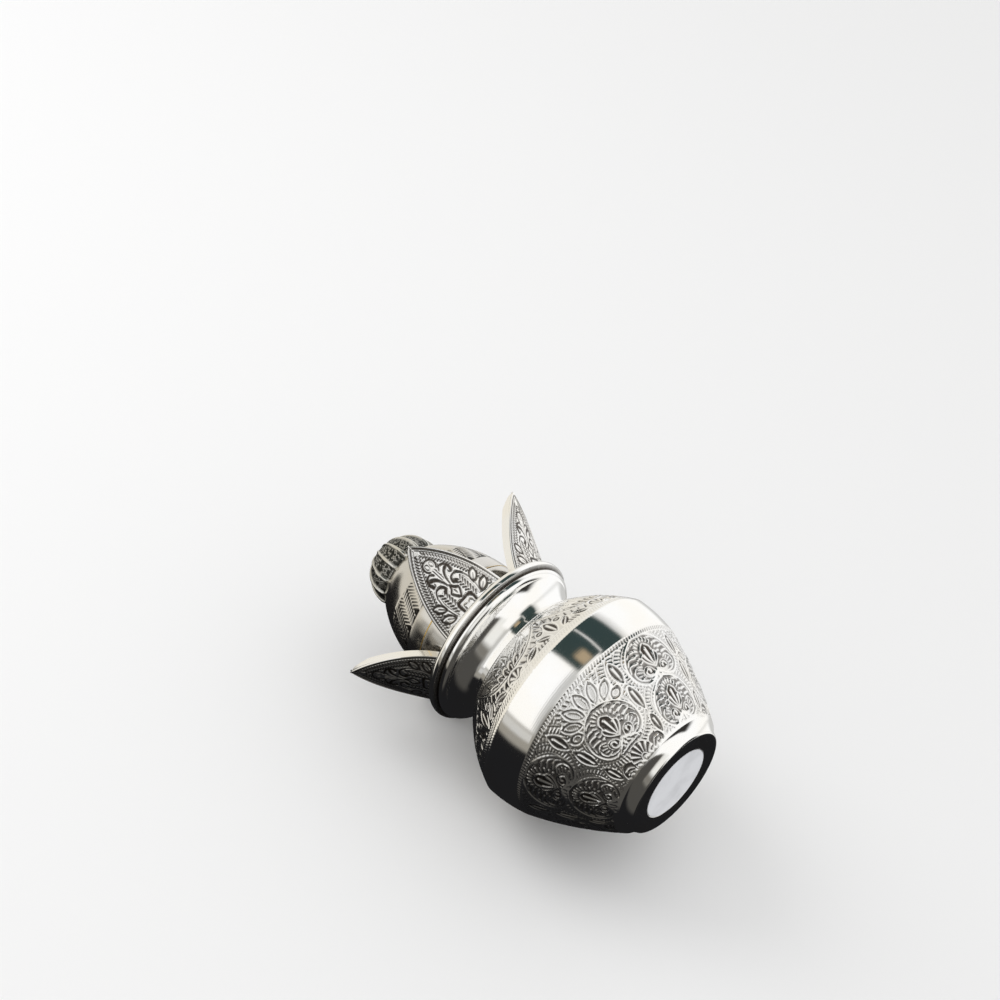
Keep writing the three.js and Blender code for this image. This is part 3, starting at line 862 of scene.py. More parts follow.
def set_round(piece: bpy.types.Object, radius: np.ndarray, azimuth: np.ndarray, height: np.ndarray,
              tone: np.ndarray) -> None:
    """Moves every point of a piece to a radius, azimuth and height, and stores its tone."""
    places = np.stack([radius * np.cos(azimuth), radius * np.sin(azimuth), height], 1)
    set_points(piece, places, tone)


def nearest(line: np.ndarray, radius: np.ndarray, height: np.ndarray) -> tuple[np.ndarray, np.ndarray]:
    """Finds which point of a profile each point of a lathe-turned piece came from.

    Args:
        line: points of the profile.
        radius: radius of the piece's points.
        height: height of the piece's points.

    Returns:
        The number of the profile's point, and whether the piece's point lies on it.
    """
    gap = (radius[:, None] - line[None, :, 0]) ** 2 + (height[:, None] - line[None, :, 1]) ** 2
    found = gap.argmin(1)
    return found, gap[np.arange(len(found)), found] < 1e-4


def close_up(piece: bpy.types.Object, centre: Point = (0.0, 0.0)) -> None:
    """Turns a piece's faces outwards, shades it, and moves it over its centre.

    Args:
        piece: the piece, closed all over.
        centre: where its axis stands, in millimetres.
    """
    deselect()
    piece.select_set(True)
    bpy.context.view_layer.objects.active = piece
    inside_out = enclosed(piece) < 0
    bpy.ops.object.mode_set(mode="EDIT")
    bpy.ops.mesh.select_all(action="SELECT")
    if inside_out:
        bpy.ops.mesh.flip_normals()
    if centre != (0.0, 0.0):
        bpy.ops.transform.translate(value=(centre[0] * MM, centre[1] * MM, 0))
    bpy.ops.object.mode_set(mode="OBJECT")
    bpy.ops.object.shade_smooth_by_angle(angle=math.radians(SHARP_DEG))
    piece.select_set(False)


def enclosed(piece: bpy.types.Object) -> float:
    """The volume that a closed mesh encloses.

    Args:
        piece: the piece.

    Returns:
        The volume, less than nothing where its faces point inwards.
    """
    mesh = piece.data
    mesh.calc_loop_triangles()
    co = np.empty(len(mesh.vertices) * 3, np.float32)
    mesh.vertices.foreach_get("co", co)
    index = np.empty(len(mesh.loop_triangles) * 3, np.int32)
    mesh.loop_triangles.foreach_get("vertices", index)
    a, b, c = co.reshape(-1, 3).astype(float)[index.reshape(-1, 3)].transpose(1, 0, 2)
    return float(np.einsum("ij,ij->", a, np.cross(b, c)) / 6)


def eased(points: np.ndarray, radius: float = 0.35, least: float = 14) -> np.ndarray:
    """Replaces sharp corners by small roundings.

    Args:
        points: the profile.
        radius: how far from its corner a rounding starts.
        least: the smallest turn that is rounded, in degrees.

    Returns:
        The new profile.
    """
    p = np.asarray(points, float)
    out = [p[0]]
    for before, here, after in zip(p[:-2], p[1:-1], p[2:]):
        u, v = before - here, after - here
        lu, lv = np.hypot(*u), np.hypot(*v)
        turn = 180 - math.degrees(math.acos(np.clip(u @ v / (lu * lv), -1, 1)))
        if turn < least:
            out.append(here)
            continue
        cut = min(radius, 0.45 * lu, 0.45 * lv)
        start, end = here + u / lu * cut, here + v / lv * cut
        for t in (0, 0.25, 0.5, 0.75, 1):
            out.append((1 - t) ** 2 * start + 2 * t * (1 - t) * here + t**2 * end)
    out.append(p[-1])
    return np.array(out)


def inset(points: np.ndarray, distance: float) -> np.ndarray:
    """Moves a climbing profile towards the axis.

    Args:
        points: the profile.
        distance: how far it is moved.

    Returns:
        The new profile.
    """
    way = unit_ways(points)
    return points + distance * np.stack([-way[:, 1], way[:, 0]], 1)


@dataclass
class SpunShell:
    """A closed shell of revolution, with engraving on a stretch of its outside.

    `outside` runs upwards, `inside` downwards, both as radius and height. The engraved stretch is
    given by the number of its first point and the number of its points.
    """

    name: str
    outside: np.ndarray
    inside: np.ndarray
    columns: int
    sheet: Sheet | None = None
    first: int = 0
    count: int = 0
    mean_radius: float = 1.0
    depth: float = 0.42
    centre: Point = (0.0, 0.0)
    on_axis: bool = False
    fade: float = 0.4

    def build(self) -> bpy.types.Object:
        """Makes the piece.

        Returns:
            The finished piece, without a material.
        """
        profile = np.vstack([self.outside, self.inside])
        if not self.on_axis:
            profile = np.vstack([profile, profile[:1]])
        piece = lathe(self.name, profile, self.columns)
        if self.sheet is not None:
            self.engrave(piece)
        close_up(piece, self.centre)
        return piece

    def engrave(self, piece: bpy.types.Object) -> None:
        """Sinks the ground of the engraved stretch and stores its tone.

        Args:
            piece: the spun piece, its axis on the Z axis.
        """
        line = self.outside[self.first:self.first + self.count]
        way = climb(line)
        normal = unit_ways(line)
        radius, azimuth, height = round_points(piece)
        index, on = nearest(line, radius, height)
        ridge, dark = self.sheet.read((azimuth - math.radians(FRONT_DEG)) * self.mean_radius, way[index])
        edge = np.clip(np.minimum(way, way[-1] - way) / self.fade, 0, 1)[index] * on
        tone = dark * (1 - ridge) * edge
        sunk = self.depth * dark**0.5 * (1 - ridge) * edge
        radius = radius - sunk * normal[index, 1]
        height = height + sunk * normal[index, 0]
        set_round(piece, radius, azimuth, height, tone)


# ---------------------------------------------------------------- materials


class Maths:
    """A node's socket on which Python's operators add Math nodes."""

    def __init__(self, book: "NodeBook", socket: bpy.types.NodeSocket) -> None:
        """Wraps a socket of one node tree."""
        self.book, self.socket = book, socket

    def _do(self, operation: str, *values: "Maths | float") -> "Maths":
        """Adds one Math node."""
        return self.book.maths(operation, *values)

    def __add__(self, other: "Maths | float") -> "Maths":
        """self + other."""
        return self._do("ADD", self, other)

    def __sub__(self, other: "Maths | float") -> "Maths":
        """self - other."""
        return self._do("SUBTRACT", self, other)

    def __rsub__(self, other: float) -> "Maths":
        """other - self."""
        return self._do("SUBTRACT", other, self)

    def __mul__(self, other: "Maths | float") -> "Maths":
        """self * other."""
        return self._do("MULTIPLY", self, other)

    __radd__, __rmul__ = __add__, __mul__

    def within(self, low: float, high: float, soft: float) -> "Maths":
        """1 between two values and 0 outside them, with soft ends."""
        return self.book.step(self, low - soft, low + soft) * self.book.step(self, high + soft, high - soft)


class NodeBook:
    """Adds nodes to one node tree."""

    def __init__(self, tree: bpy.types.NodeTree) -> None:
        """Starts with an empty tree."""
        self.tree = tree
        tree.nodes.clear()

    def add(self, kind: str, settings: dict | None = None, **inputs: object) -> bpy.types.Node:
        """Adds a node.

        Args:
            kind: the node's type name.
            settings: its own settings; `stops` are a ramp's places and colours.
            **inputs: values or links of its sockets. A name has _ for a space, and iN is the Nth.

        Returns:
            The node.
        """
        node = self.tree.nodes.new(kind)
        for key, value in (settings or {}).items():
            if key == "stops":
                ramp = node.color_ramp
                while len(ramp.elements) < len(value):
                    ramp.elements.new(0.5)
                for element, (place, colour) in zip(ramp.elements, value):
                    element.position, element.color = place, (*colour, 1)
            else:
                setattr(node, key, value)
        for key, value in inputs.items():
            index = int(key[1:]) if key[0] == "i" and key[1:].isdigit() else key.replace("_", " ")
            self.feed(node.inputs[index], value)
        return node

    def feed(self, socket: bpy.types.NodeSocket, value: object) -> None:
        """Links a socket, or gives it a plain value.

        Args:
            socket: the input.
            value: a node, a socket, a number or a colour.
        """
        if isinstance(value, Maths):
            value = value.socket
        if isinstance(value, bpy.types.Node):
            value = value.outputs[0]
        if isinstance(value, bpy.types.NodeSocket):
            self.tree.links.new(value, socket)
        elif isinstance(value, (tuple, list)) and len(value) == 3 and socket.type == "RGBA":
            socket.default_value = (*value, 1)
        else:
            socket.default_value = value

    def value(self, socket: bpy.types.NodeSocket) -> Maths:
        """A socket that can be reckoned with."""
        return Maths(self, socket)

    def maths(self, operation: str, *values: Maths | float) -> Maths:
        """One Math node on numbers and sockets."""
        inputs = {f"i{k}": value for k, value in enumerate(values)}
        return Maths(self, self.add("ShaderNodeMath", {"operation": operation}, **inputs).outputs[0])

    def step(self, value: Maths, start: float, end: float) -> Maths:
        """A smooth step.

        Args:
            value: what is stepped.
            start: where the step is 0.
            end: where it is 1.

        Returns:
            The step.
        """
        node = self.add("ShaderNodeMapRange", {"interpolation_type": "SMOOTHSTEP"}, Value=value,
                        From_Min=start, From_Max=end)
        return Maths(self, node.outputs[0])

    def noise(self, place: bpy.types.NodeSocket, scale: float, detail: float) -> Maths:
        """Soft noise on a piece's own coordinates."""
        return self.value(self.add("ShaderNodeTexNoise", Vector=place, Scale=scale, Detail=detail).outputs[0])

    def surface(self, **inputs: object) -> None:
        """Ends a material with one Principled surface."""
        self.add("ShaderNodeOutputMaterial", Surface=self.add("ShaderNodeBsdfPrincipled", **inputs))

    def mix(self, share: Maths | float, a: object, b: object) -> bpy.types.NodeSocket:
        """A colour between two colours.

        Args:
            share: how much of the second.
            a: the first colour.
            b: the second colour.

        Returns:
            The mixed colour.
        """
        node = self.add("ShaderNodeMix", {"data_type": "RGBA"})
        self.feed(node.inputs[0], share)
        self.feed(node.inputs[6], a)
        self.feed(node.inputs[7], b)
        return node.outputs[2]


def begin(name: str) -> tuple[bpy.types.Material, NodeBook, bpy.types.NodeSocket]:
    """Starts a material.

    Args:
        name: its name.

    Returns:
        The material, its nodes and its Object coordinates.
    """
    material = bpy.data.materials.new(name)
    material.use_nodes = True
    book = NodeBook(material.node_tree)
    return material, book, book.add("ShaderNodeTexCoord").outputs["Object"]


@dataclass(frozen=True)
class SilverFinish:
    """Silver plate: bright metal, darkened where the tone attribute is high."""

    name: str
    bright: tuple[float, float, float] = (0.96, 0.955, 0.94)
    sunk: tuple[float, float, float] = (0.07, 0.058, 0.048)
    shine: float = 0.06
    dull: float = 0.34
    smudge: float = 0.05
    ripple: float = 0.05
    turned: float = 0.012

    def make(self) -> bpy.types.Material:
        """Builds the material.

        Returns:
            The material.
        """
        material, book, place = begin(self.name)
        tone = book.value(book.add("ShaderNodeAttribute", {"attribute_name": "tone"}).outputs["Fac"])
        cloud = book.noise(place, 55.0, 4.0)
        grain = book.noise(place, 900.0, 2.0)
        wave = book.noise(place, 38.0, 1.0)
        depth = book.maths("MINIMUM", book.maths("POWER", tone, 1.5) * (0.8 + 0.4 * grain), 1.0)
        warm = tuple(c * k for c, k in zip(self.bright, (1.0, 0.98, 0.94)))
        metal = book.mix(book.step(cloud, 0.35, 0.7), self.bright, warm)
        colour = book.mix(depth, metal, self.sunk)
        rough = self.shine + (self.dull - self.shine) * depth + self.smudge * cloud
        lines = book.value(book.add("ShaderNodeTexWave", {"bands_direction": "Z"}, Vector=place, Scale=330.0,
                                    Distortion=1.5, Detail=2.0).outputs[1])
        height = wave + 0.02 * grain + self.turned * lines
        bump = book.add("ShaderNodeBump", Strength=self.ripple, Distance=0.004, Height=height)
        book.surface(Base_Color=colour, Metallic=1.0, Roughness=rough, Normal=bump)
        return material


@dataclass(frozen=True)
class BrassFinish:
    """Plain satin brass, with turning lines."""

    name: str
    colour: tuple[float, float, float] = (0.76, 0.69, 0.54)
    roughness: float = 0.28

    def make(self) -> bpy.types.Material:
        """Builds the material.

        Returns:
            The material.
        """
        material, book, place = begin(self.name)
        cloud = book.noise(place, 80.0, 4.0)
        lines = book.add("ShaderNodeTexWave", {"bands_direction": "Z"}, Vector=place, Scale=400.0,
                         Distortion=1.0)
        dim = tuple(c * 0.7 for c in self.colour)
        colour = book.mix(book.step(cloud, 0.35, 0.75), self.colour, dim)
        bump = book.add("ShaderNodeBump", Strength=0.08, Distance=0.0003, Height=lines.outputs[1])
        rough = self.roughness + 0.12 * cloud
        book.surface(Base_Color=colour, Metallic=1.0, Roughness=rough, Normal=bump)
        return material


@dataclass(frozen=True)
class PaperFinish:
    """Blank pale label paper, slightly creased."""

    name: str
    colour: tuple[float, float, float] = (0.80, 0.81, 0.84)

    def make(self) -> bpy.types.Material:
        """Builds the material.

        Returns:
            The material.
        """
        material, book, place = begin(self.name)
        fibre = book.noise(place, 1500.0, 3.0)
        stain = book.noise(place, 70.0, 3.0)
        dim = tuple(c * 0.85 for c in self.colour)
        colour = book.mix(book.step(stain, 0.4, 0.75), self.colour, dim)
        bump = book.add("ShaderNodeBump", Strength=0.15, Distance=0.0002, Height=fibre + 0.6 * stain)
        rough = 0.4 + 0.2 * fibre
        book.surface(Base_Color=colour, Roughness=rough, Normal=bump)
        return material


def dress(piece: bpy.types.Object, material: bpy.types.Material) -> None:
    """Gives a piece one material.

    Args:
        piece: the piece.
        material: its finish.
    """
    if not piece.data.materials:
        piece.data.materials.append(material)
    for slot in piece.material_slots:
        slot.material = material


def settle(piece: bpy.types.Object, body: str, slot: str, *nodes: str) -> None:
    """Lets a piece ride on its body, in place of its CAD nodes.

    Args:
        piece: the piece.
        body: the body that it moves with.
        slot: the record's material slot; not used.
        *nodes: the CAD nodes that it stands for.
    """
    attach(piece, body)
    if nodes:
        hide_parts(*nodes)
    LOG.info("%s: %d faces", piece.name, len(piece.data.polygons))


# ---------------------------------------------------------------- the pot


@dataclass
class Pot:
    """The spun pot: foot, engraved bowl, belly band, engraved shoulder, flared neck and rolled lip."""

    foot: Point = (27.3, 0.5)
    foot_top: Point = (31.3, 5.6)
    seam: Point = (52.0, 45.8)
    belly: Point = BELLY
    neck: Point = NECK
    flare_top: Point = FLARE_TOP
    bead_top: Point = (40.9, 105.8)
    groove: Point = (40.3, 106.7)
    band_foot: Point = (42.7, 107.3)
    band_top: Point = (42.25, 110.6)
    bowl_bulge: float = 1.5
    belly_bulge: float = 0.65
    shoulder_bulge: float = 2.4
    floor_top: float = 2.2
    mouth_radius: float = 39.3
    label_radius: float = 18.3
    label_depth: float = 0.4
    wall: float = 1.2
    columns: int = 800
    plain_columns: int = 288
    silver: SilverFinish = field(default_factory=lambda: SilverFinish("pot silver"))

    def build(self) -> None:
        """Makes, dresses and settles every piece of the pot."""
        material = self.silver.make()
        for piece, nodes in ((self.make_foot(), ("pot_bowl",)), (self.make_bowl(), ("pot_bowl",)),
                             (self.make_shoulder(), ("pot_shoulder",)), (self.make_neck(), ("pot_neck",))):
            dress(piece, material)
            settle(piece, "pot", "pot_silver", *nodes)
        dress(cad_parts["base_label"], PaperFinish("label paper").make())

    def make_foot(self) -> bpy.types.Object:
        """Underside with the label's pocket, hollow foot band and the pot's floor.

        Returns:
            The piece.
        """
        outside = eased(np.vstack([
            [(0, self.label_depth), (self.label_radius, self.label_depth), (self.label_radius, 0),
             (self.foot[0] - 0.6, 0)],
            arc(self.foot, self.foot_top, -0.5, 10),
        ]), 0.2)
        inside = np.array([(self.foot_top[0] - self.wall, self.foot_top[1] + 0.5),
                           (self.foot[0] - self.wall, self.floor_top), (0, self.floor_top)])
        return SpunShell("pot_foot", outside, inside, self.plain_columns, on_axis=True).build()

    def make_bowl(self) -> bpy.types.Object:
        """Engraved lower bowl.

        Returns:
            The piece.
        """
        outside = arc(self.foot_top, self.seam, self.bowl_bulge, 108)
        inner = inset(arc(self.foot_top, self.seam, self.bowl_bulge, 6), self.wall)[::-1]
        inside = np.vstack([[(self.seam[0] - self.wall, self.seam[1])], inner[1:-1],
                            [(self.foot_top[0] - self.wall, self.foot_top[1] + 0.5)]])
        ornament = BowlOrnament()
        return SpunShell("pot_bowl_engraved", outside, inside, self.columns, ornament.draw(), 0,
                         len(outside), ornament.mean_radius).build()

    def make_shoulder(self) -> bpy.types.Object:
        """Plain belly band and engraved shoulder.

        Returns:
            The piece.
        """
        belly = eased(np.vstack([[(self.seam[0] - 0.35, self.seam[1])],
                                 arc(self.seam, self.belly, self.belly_bulge, 10)]), 0.3)
        shoulder = arc(self.belly, self.neck, self.shoulder_bulge, 92)
        outside = np.vstack([belly[:-1], shoulder])
        inner = inset(arc(self.belly, self.neck, self.shoulder_bulge, 6), self.wall)[::-1]
        inside = np.vstack([[(self.neck[0] - self.wall, self.neck[1])], inner[1:-1],
                            [(self.belly[0] - self.wall, self.belly[1]),
                             (self.seam[0] - self.wall, self.seam[1])]])
        ornament = ShoulderOrnament()
        return SpunShell("pot_shoulder_engraved", outside, inside, self.columns, ornament.draw(),
                         len(belly) - 1, len(shoulder), ornament.mean_radius).build()

    def make_neck(self) -> bpy.types.Object:
        """Flared neck with the lip's bead, groove and band.

        Returns:
            The piece.
        """
        flare = arc(self.neck, self.flare_top, FLARE_BULGE, 24)
        bead = arc(self.flare_top, self.bead_top, 0.8, 10)
        band = arc(self.band_foot, self.band_top, 0.45, 8)
        lip = np.vstack([flare[:-1], bead, [self.groove], band, [(self.mouth_radius, self.band_top[1])],
                         [(self.mouth_radius, self.flare_top[1] + 2.0)]])
        inner = inset(flare[::4], self.wall)[::-1]
        piece = SpunShell("pot_neck_lip", eased(lip, 0.45), inner, self.plain_columns).build()
        radius, azimuth, height = round_points(piece)
        tone = np.clip(1.4 - abs(height - self.groove[1]) / 0.7, 0, 1) * (radius > self.mouth_radius + 0.4)
        set_round(piece, radius, azimuth, height, tone)
        return piece


# ---------------------------------------------------------------- the crown of leaves


@dataclass
class Crown:
    """Five leaf trays on their collar."""

    tip: Point = (58.9, 144.6)
    bend: Point = (38.6, 117.8)
    first_degrees: float = 90.0
    count: int = 5
    neck: Point = NECK
    flare_top: Point = FLARE_TOP
    collar_outside: tuple[Point, ...] = ((20.0, 86.0), (30.1, 86.0), (30.1, 92.5), (31.7, 96.8), (32.8, 98.7),
                                         (34.1, 100.6), (35.7, 102.2))
    collar_inside: tuple[Point, ...] = ((34.9, 103.1), (33.2, 101.3), (31.8, 99.4), (30.7, 97.2),
                                        (28.9, 93.4), (28.9, 87.2), (20.0, 87.2))
    flare_steps: int = 40
    foot_depth: float = 3.0
    root_share: float = 0.85
    end_share: float = 0.3
    foot_half_width: float = 9.0
    fold: float = 4.5
    fold_tip: float = 1.8
    fold_slope: float = 0.35
    sheet: float = 1.15
    depth: float = 0.36
    margin: float = 0.08
    edge_reach: float = 0.45
    edge_drop: float = 0.18
    face_columns: int = 132
    step: float = 0.29
    silver: SilverFinish = field(default_factory=lambda: SilverFinish("leaf silver", shine=0.1, dull=0.4))
    back: SilverFinish = field(default_factory=lambda: SilverFinish(
        "leaf back", (0.80, 0.79, 0.76), shine=0.2))

    def build(self) -> None:
        """Makes, dresses and settles the leaves and their collar, and dresses the rivets."""
        faces = (self.silver.make(), self.back.make())
        drawing = LeafOrnament()
        sheet = drawing.draw()
        for k in range(self.count):
            name = f"leaf_{k + 1}"
            degrees = self.first_degrees + 360 / self.count * k
            piece = self.make_leaf(f"{name}_engraved", degrees, drawing, sheet, faces)
            settle(piece, "crown", "leaf_silver", name)
        brass = BrassFinish("plated brass").make()
        collar = SpunShell("crown_collar_spun", np.array(self.collar_outside),
                           np.array(self.collar_inside), 240).build()
        dress(collar, brass)
        settle(collar, "crown", "inner_metal", "crown_collar")
        for k in range(self.count):
            dress(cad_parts[f"leaf_rivet_{k + 1}"], brass)

    def spine(self) -> tuple[np.ndarray, np.ndarray]:
        """Draws the leaf's middle line from its tip down.

        Returns:
            Its points, and how far each of them is into the foot.
        """
        fine = arc(self.neck, self.flare_top, FLARE_BULGE, self.flare_steps)
        deep = inset(fine, self.foot_depth)
        root = deep[round(self.root_share * self.flare_steps)]
        t = np.linspace(0, 1, 400)[:, None]
        blade_line = (1 - t) ** 2 * np.array(self.tip) + 2 * t * (1 - t) * np.array(self.bend) + t**2 * root
        way = climb(blade_line)
        even = np.linspace(0, way[-1], round(way[-1] / self.step))
        share = np.linspace(self.root_share, self.end_share, 7)[1:]
        foot = along(deep, np.arange(self.flare_steps + 1), share * self.flare_steps)
        into = np.r_[np.zeros(len(even)), np.linspace(0, 1, 7)[1:]]
        return np.vstack([along(blade_line, way, even), foot]), into

    def make_leaf(self, name: str, degrees: float, drawing: LeafOrnament, sheet: Sheet,
                  faces: tuple[bpy.types.Material, bpy.types.Material]) -> bpy.types.Object:
        """One leaf as a sheet with folded sides, then given its thickness.

        Args:
            name: the piece's name.
            degrees: azimuth of its middle.
            drawing: the leaf's outline and ornament.
            sheet: the ornament as it is drawn.
            faces: finish of its face and of its back.

        Returns:
            The leaf.
        """
        line, into = self.spine()
        way = climb(line)
        normal = unit_ways(line)
        inward = np.stack([normal[:, 1], -normal[:, 0]], 1)
        half = drawing.half_at(way) * (1 - into) + self.foot_half_width * into
        fold = np.minimum(self.fold, self.fold_tip + self.fold_slope * way) * (1 - into)
        fold = np.minimum(fold, half * 1.2 + 0.4)
        side = np.array([1.0, 0.75, 0.5, 0.25, 0.12])
        face = np.linspace(-1, 1, self.face_columns + 1)
        columns = np.r_[-np.ones(len(side)), face, np.ones(len(side))]
        drop = np.r_[side, np.zeros(len(face)), side[::-1]]
        near_edge = np.clip(1 - (1 - np.abs(columns)) * half[:, None] / self.edge_reach, 0, 1)
        rounding = near_edge**2 * self.edge_drop
        x = columns[None, :] * (half[:, None] - self.margin)
        depth = drop[None, :] * fold[:, None] + np.where(drop[None, :] > 0, self.edge_drop, rounding)
        ridge, dark = sheet.read(x, np.repeat(way[:, None], len(columns), 1))
        on_face = np.clip((half[:, None] - np.abs(x)) / 0.5, 0, 1)
        on_face = on_face * (drop[None, :] == 0) * (into[:, None] == 0)
        depth = depth + self.depth * dark**0.5 * (1 - ridge) * on_face
        tone = dark * (1 - ridge) * on_face
        radius = line[:, :1] + inward[:, :1] * depth
        height = line[:, 1:] + inward[:, 1:] * depth
        turn = math.radians(degrees) + x / line[:, :1]
        places = np.stack([radius * np.cos(turn), radius * np.sin(turn), height], 2)
        piece = grid_piece(name, len(line), len(columns) - 1)
        set_points(piece, places, tone)
        for material in faces:
            piece.data.materials.append(material)
        self.thicken(piece, degrees)
        return piece

    def thicken(self, piece: bpy.types.Object, degrees: float) -> None:
        """Turns the face outwards and gives the sheet its thickness towards the coconut.

        Args:
            piece: the leaf, still without thickness.
            degrees: azimuth of its middle.
        """
        outward = Vector((math.cos(math.radians(degrees)), math.sin(math.radians(degrees)), 0))
        if sum(face.normal.dot(outward) * face.area for face in piece.data.polygons) < 0:
            bpy.ops.object.mode_set(mode="EDIT")
            bpy.ops.mesh.select_all(action="SELECT")
            bpy.ops.mesh.flip_normals()
            bpy.ops.object.mode_set(mode="OBJECT")
        bpy.ops.object.modifier_add(type="SOLIDIFY")
        solid = piece.modifiers[-1]
        solid.thickness, solid.offset, solid.material_offset = self.sheet * MM, -1, 1
        bpy.ops.object.modifier_apply(modifier=solid.name)
        bpy.ops.object.shade_smooth_by_angle(angle=math.radians(LEAF_SHARP_DEG))
        piece.select_set(False)


# ---------------------------------------------------------------- the coconut


@dataclass
class Coconut:
    """Two spun shells, a brass seam and a fluted tuft."""

    centre: Point = (1.985, -0.247)
    spigot_radius: float = 24.0
    ledge: float = 87.2
    spigot_top: float = 102.0
    radius: float = 30.9
    seam: float = 126.7
    tuft_foot: Point = (17.5, 163.8)
    engraved: Point = (134.5, 149.1)
    lower_bulge: float = 2.7
    upper_bulge: float = 3.5
    hole_radius: float = 13.3
    seam_half: float = 0.65
    depth: float = 0.22
    wall: float = 1.1
    columns: int = 240
    fine_columns: int = 720
    # Painted shade: the coconut's bright silver colour is made darker than the pot's to stand for the shade
    # that the coconut lies in.
    silver: SilverFinish = field(default_factory=lambda: SilverFinish(
        "coconut silver with painted shade", bright=(0.66, 0.64, 0.60), sunk=(0.018, 0.016, 0.014), shine=0.13, dull=0.42))

    def build(self) -> None:
        """Makes, dresses and settles every piece of the coconut."""
        silver = self.silver.make()
        brass = BrassFinish("seam brass", (0.83, 0.60, 0.25), 0.2).make()
        for piece, material, slot, *nodes in ((self.make_lower(), silver, "coconut_silver", "coconut_lower"),
                                              (self.make_upper(), silver, "coconut_silver", "coconut_upper"),
                                              (self.make_seam(), brass, "inner_metal")):
            dress(piece, material)
            settle(piece, "coconut", slot, *nodes)
        settle(Tuft(self.centre).make(), "coconut", "tuft_metal", "coconut_tuft")

    def make_lower(self) -> bpy.types.Object:
        """Open spigot and plain lower shell.

        Returns:
            The piece.
        """
        shell = arc((self.spigot_radius, self.spigot_top), (self.radius, self.seam), self.lower_bulge, 30)
        outside = eased(np.vstack([[(self.spigot_radius, self.ledge)], shell]), 0.5)
        inner = inset(shell[::5], self.wall)[::-1]
        inside = np.vstack([[(self.radius - self.wall, self.seam)], inner[1:-1],
                            [(self.spigot_radius - self.wall, self.spigot_top),
                             (self.spigot_radius - self.wall, self.ledge)]])
        return SpunShell("coconut_lower_shell", outside, inside, self.columns, centre=self.centre).build()

    def make_upper(self) -> bpy.types.Object:
        """Upper shell with its engraved band between plain ones.

        Returns:
            The piece.
        """
        shell = arc((self.radius, self.seam), self.tuft_foot, self.upper_bulge, 400)
        low, high = (int(np.argmin(abs(shell[:, 1] - z))) for z in self.engraved)
        way = climb(shell)
        plain = shell[0:low:10]
        even = np.linspace(way[low], way[high], 52)
        band = along(shell, way, even)
        outside = np.vstack([plain, band, shell[high + 10::10], [self.tuft_foot]])
        inner = inset(shell[::60], self.wall + 0.35)[::-1]
        hole, top = self.hole_radius, self.tuft_foot[1]
        inside = np.vstack([[(hole, top), (hole, top - self.wall)], inner[1:-1],
                            [(self.radius - self.wall, self.seam)]])
        ornament = SprayOrnament(height=float(even[-1] - even[0]))
        return SpunShell("coconut_upper_shell", outside, inside, self.fine_columns, ornament.draw(),
                         len(plain), len(band), ornament.mean_radius, self.depth, self.centre).build()

    def make_seam(self) -> bpy.types.Object:
        """Thin brass line where the two shells meet.

        Returns:
            The piece.
        """
        out, half = self.radius - 0.3, self.seam_half
        outside = arc((out, self.seam - half), (out, self.seam + half), 0.44, 8)
        inside = np.array([(self.radius - 0.5, self.seam + 0.4), (self.radius - 0.5, self.seam - 0.4)])
        return SpunShell("coconut_seam_line", outside, inside, self.columns, centre=self.centre).build()


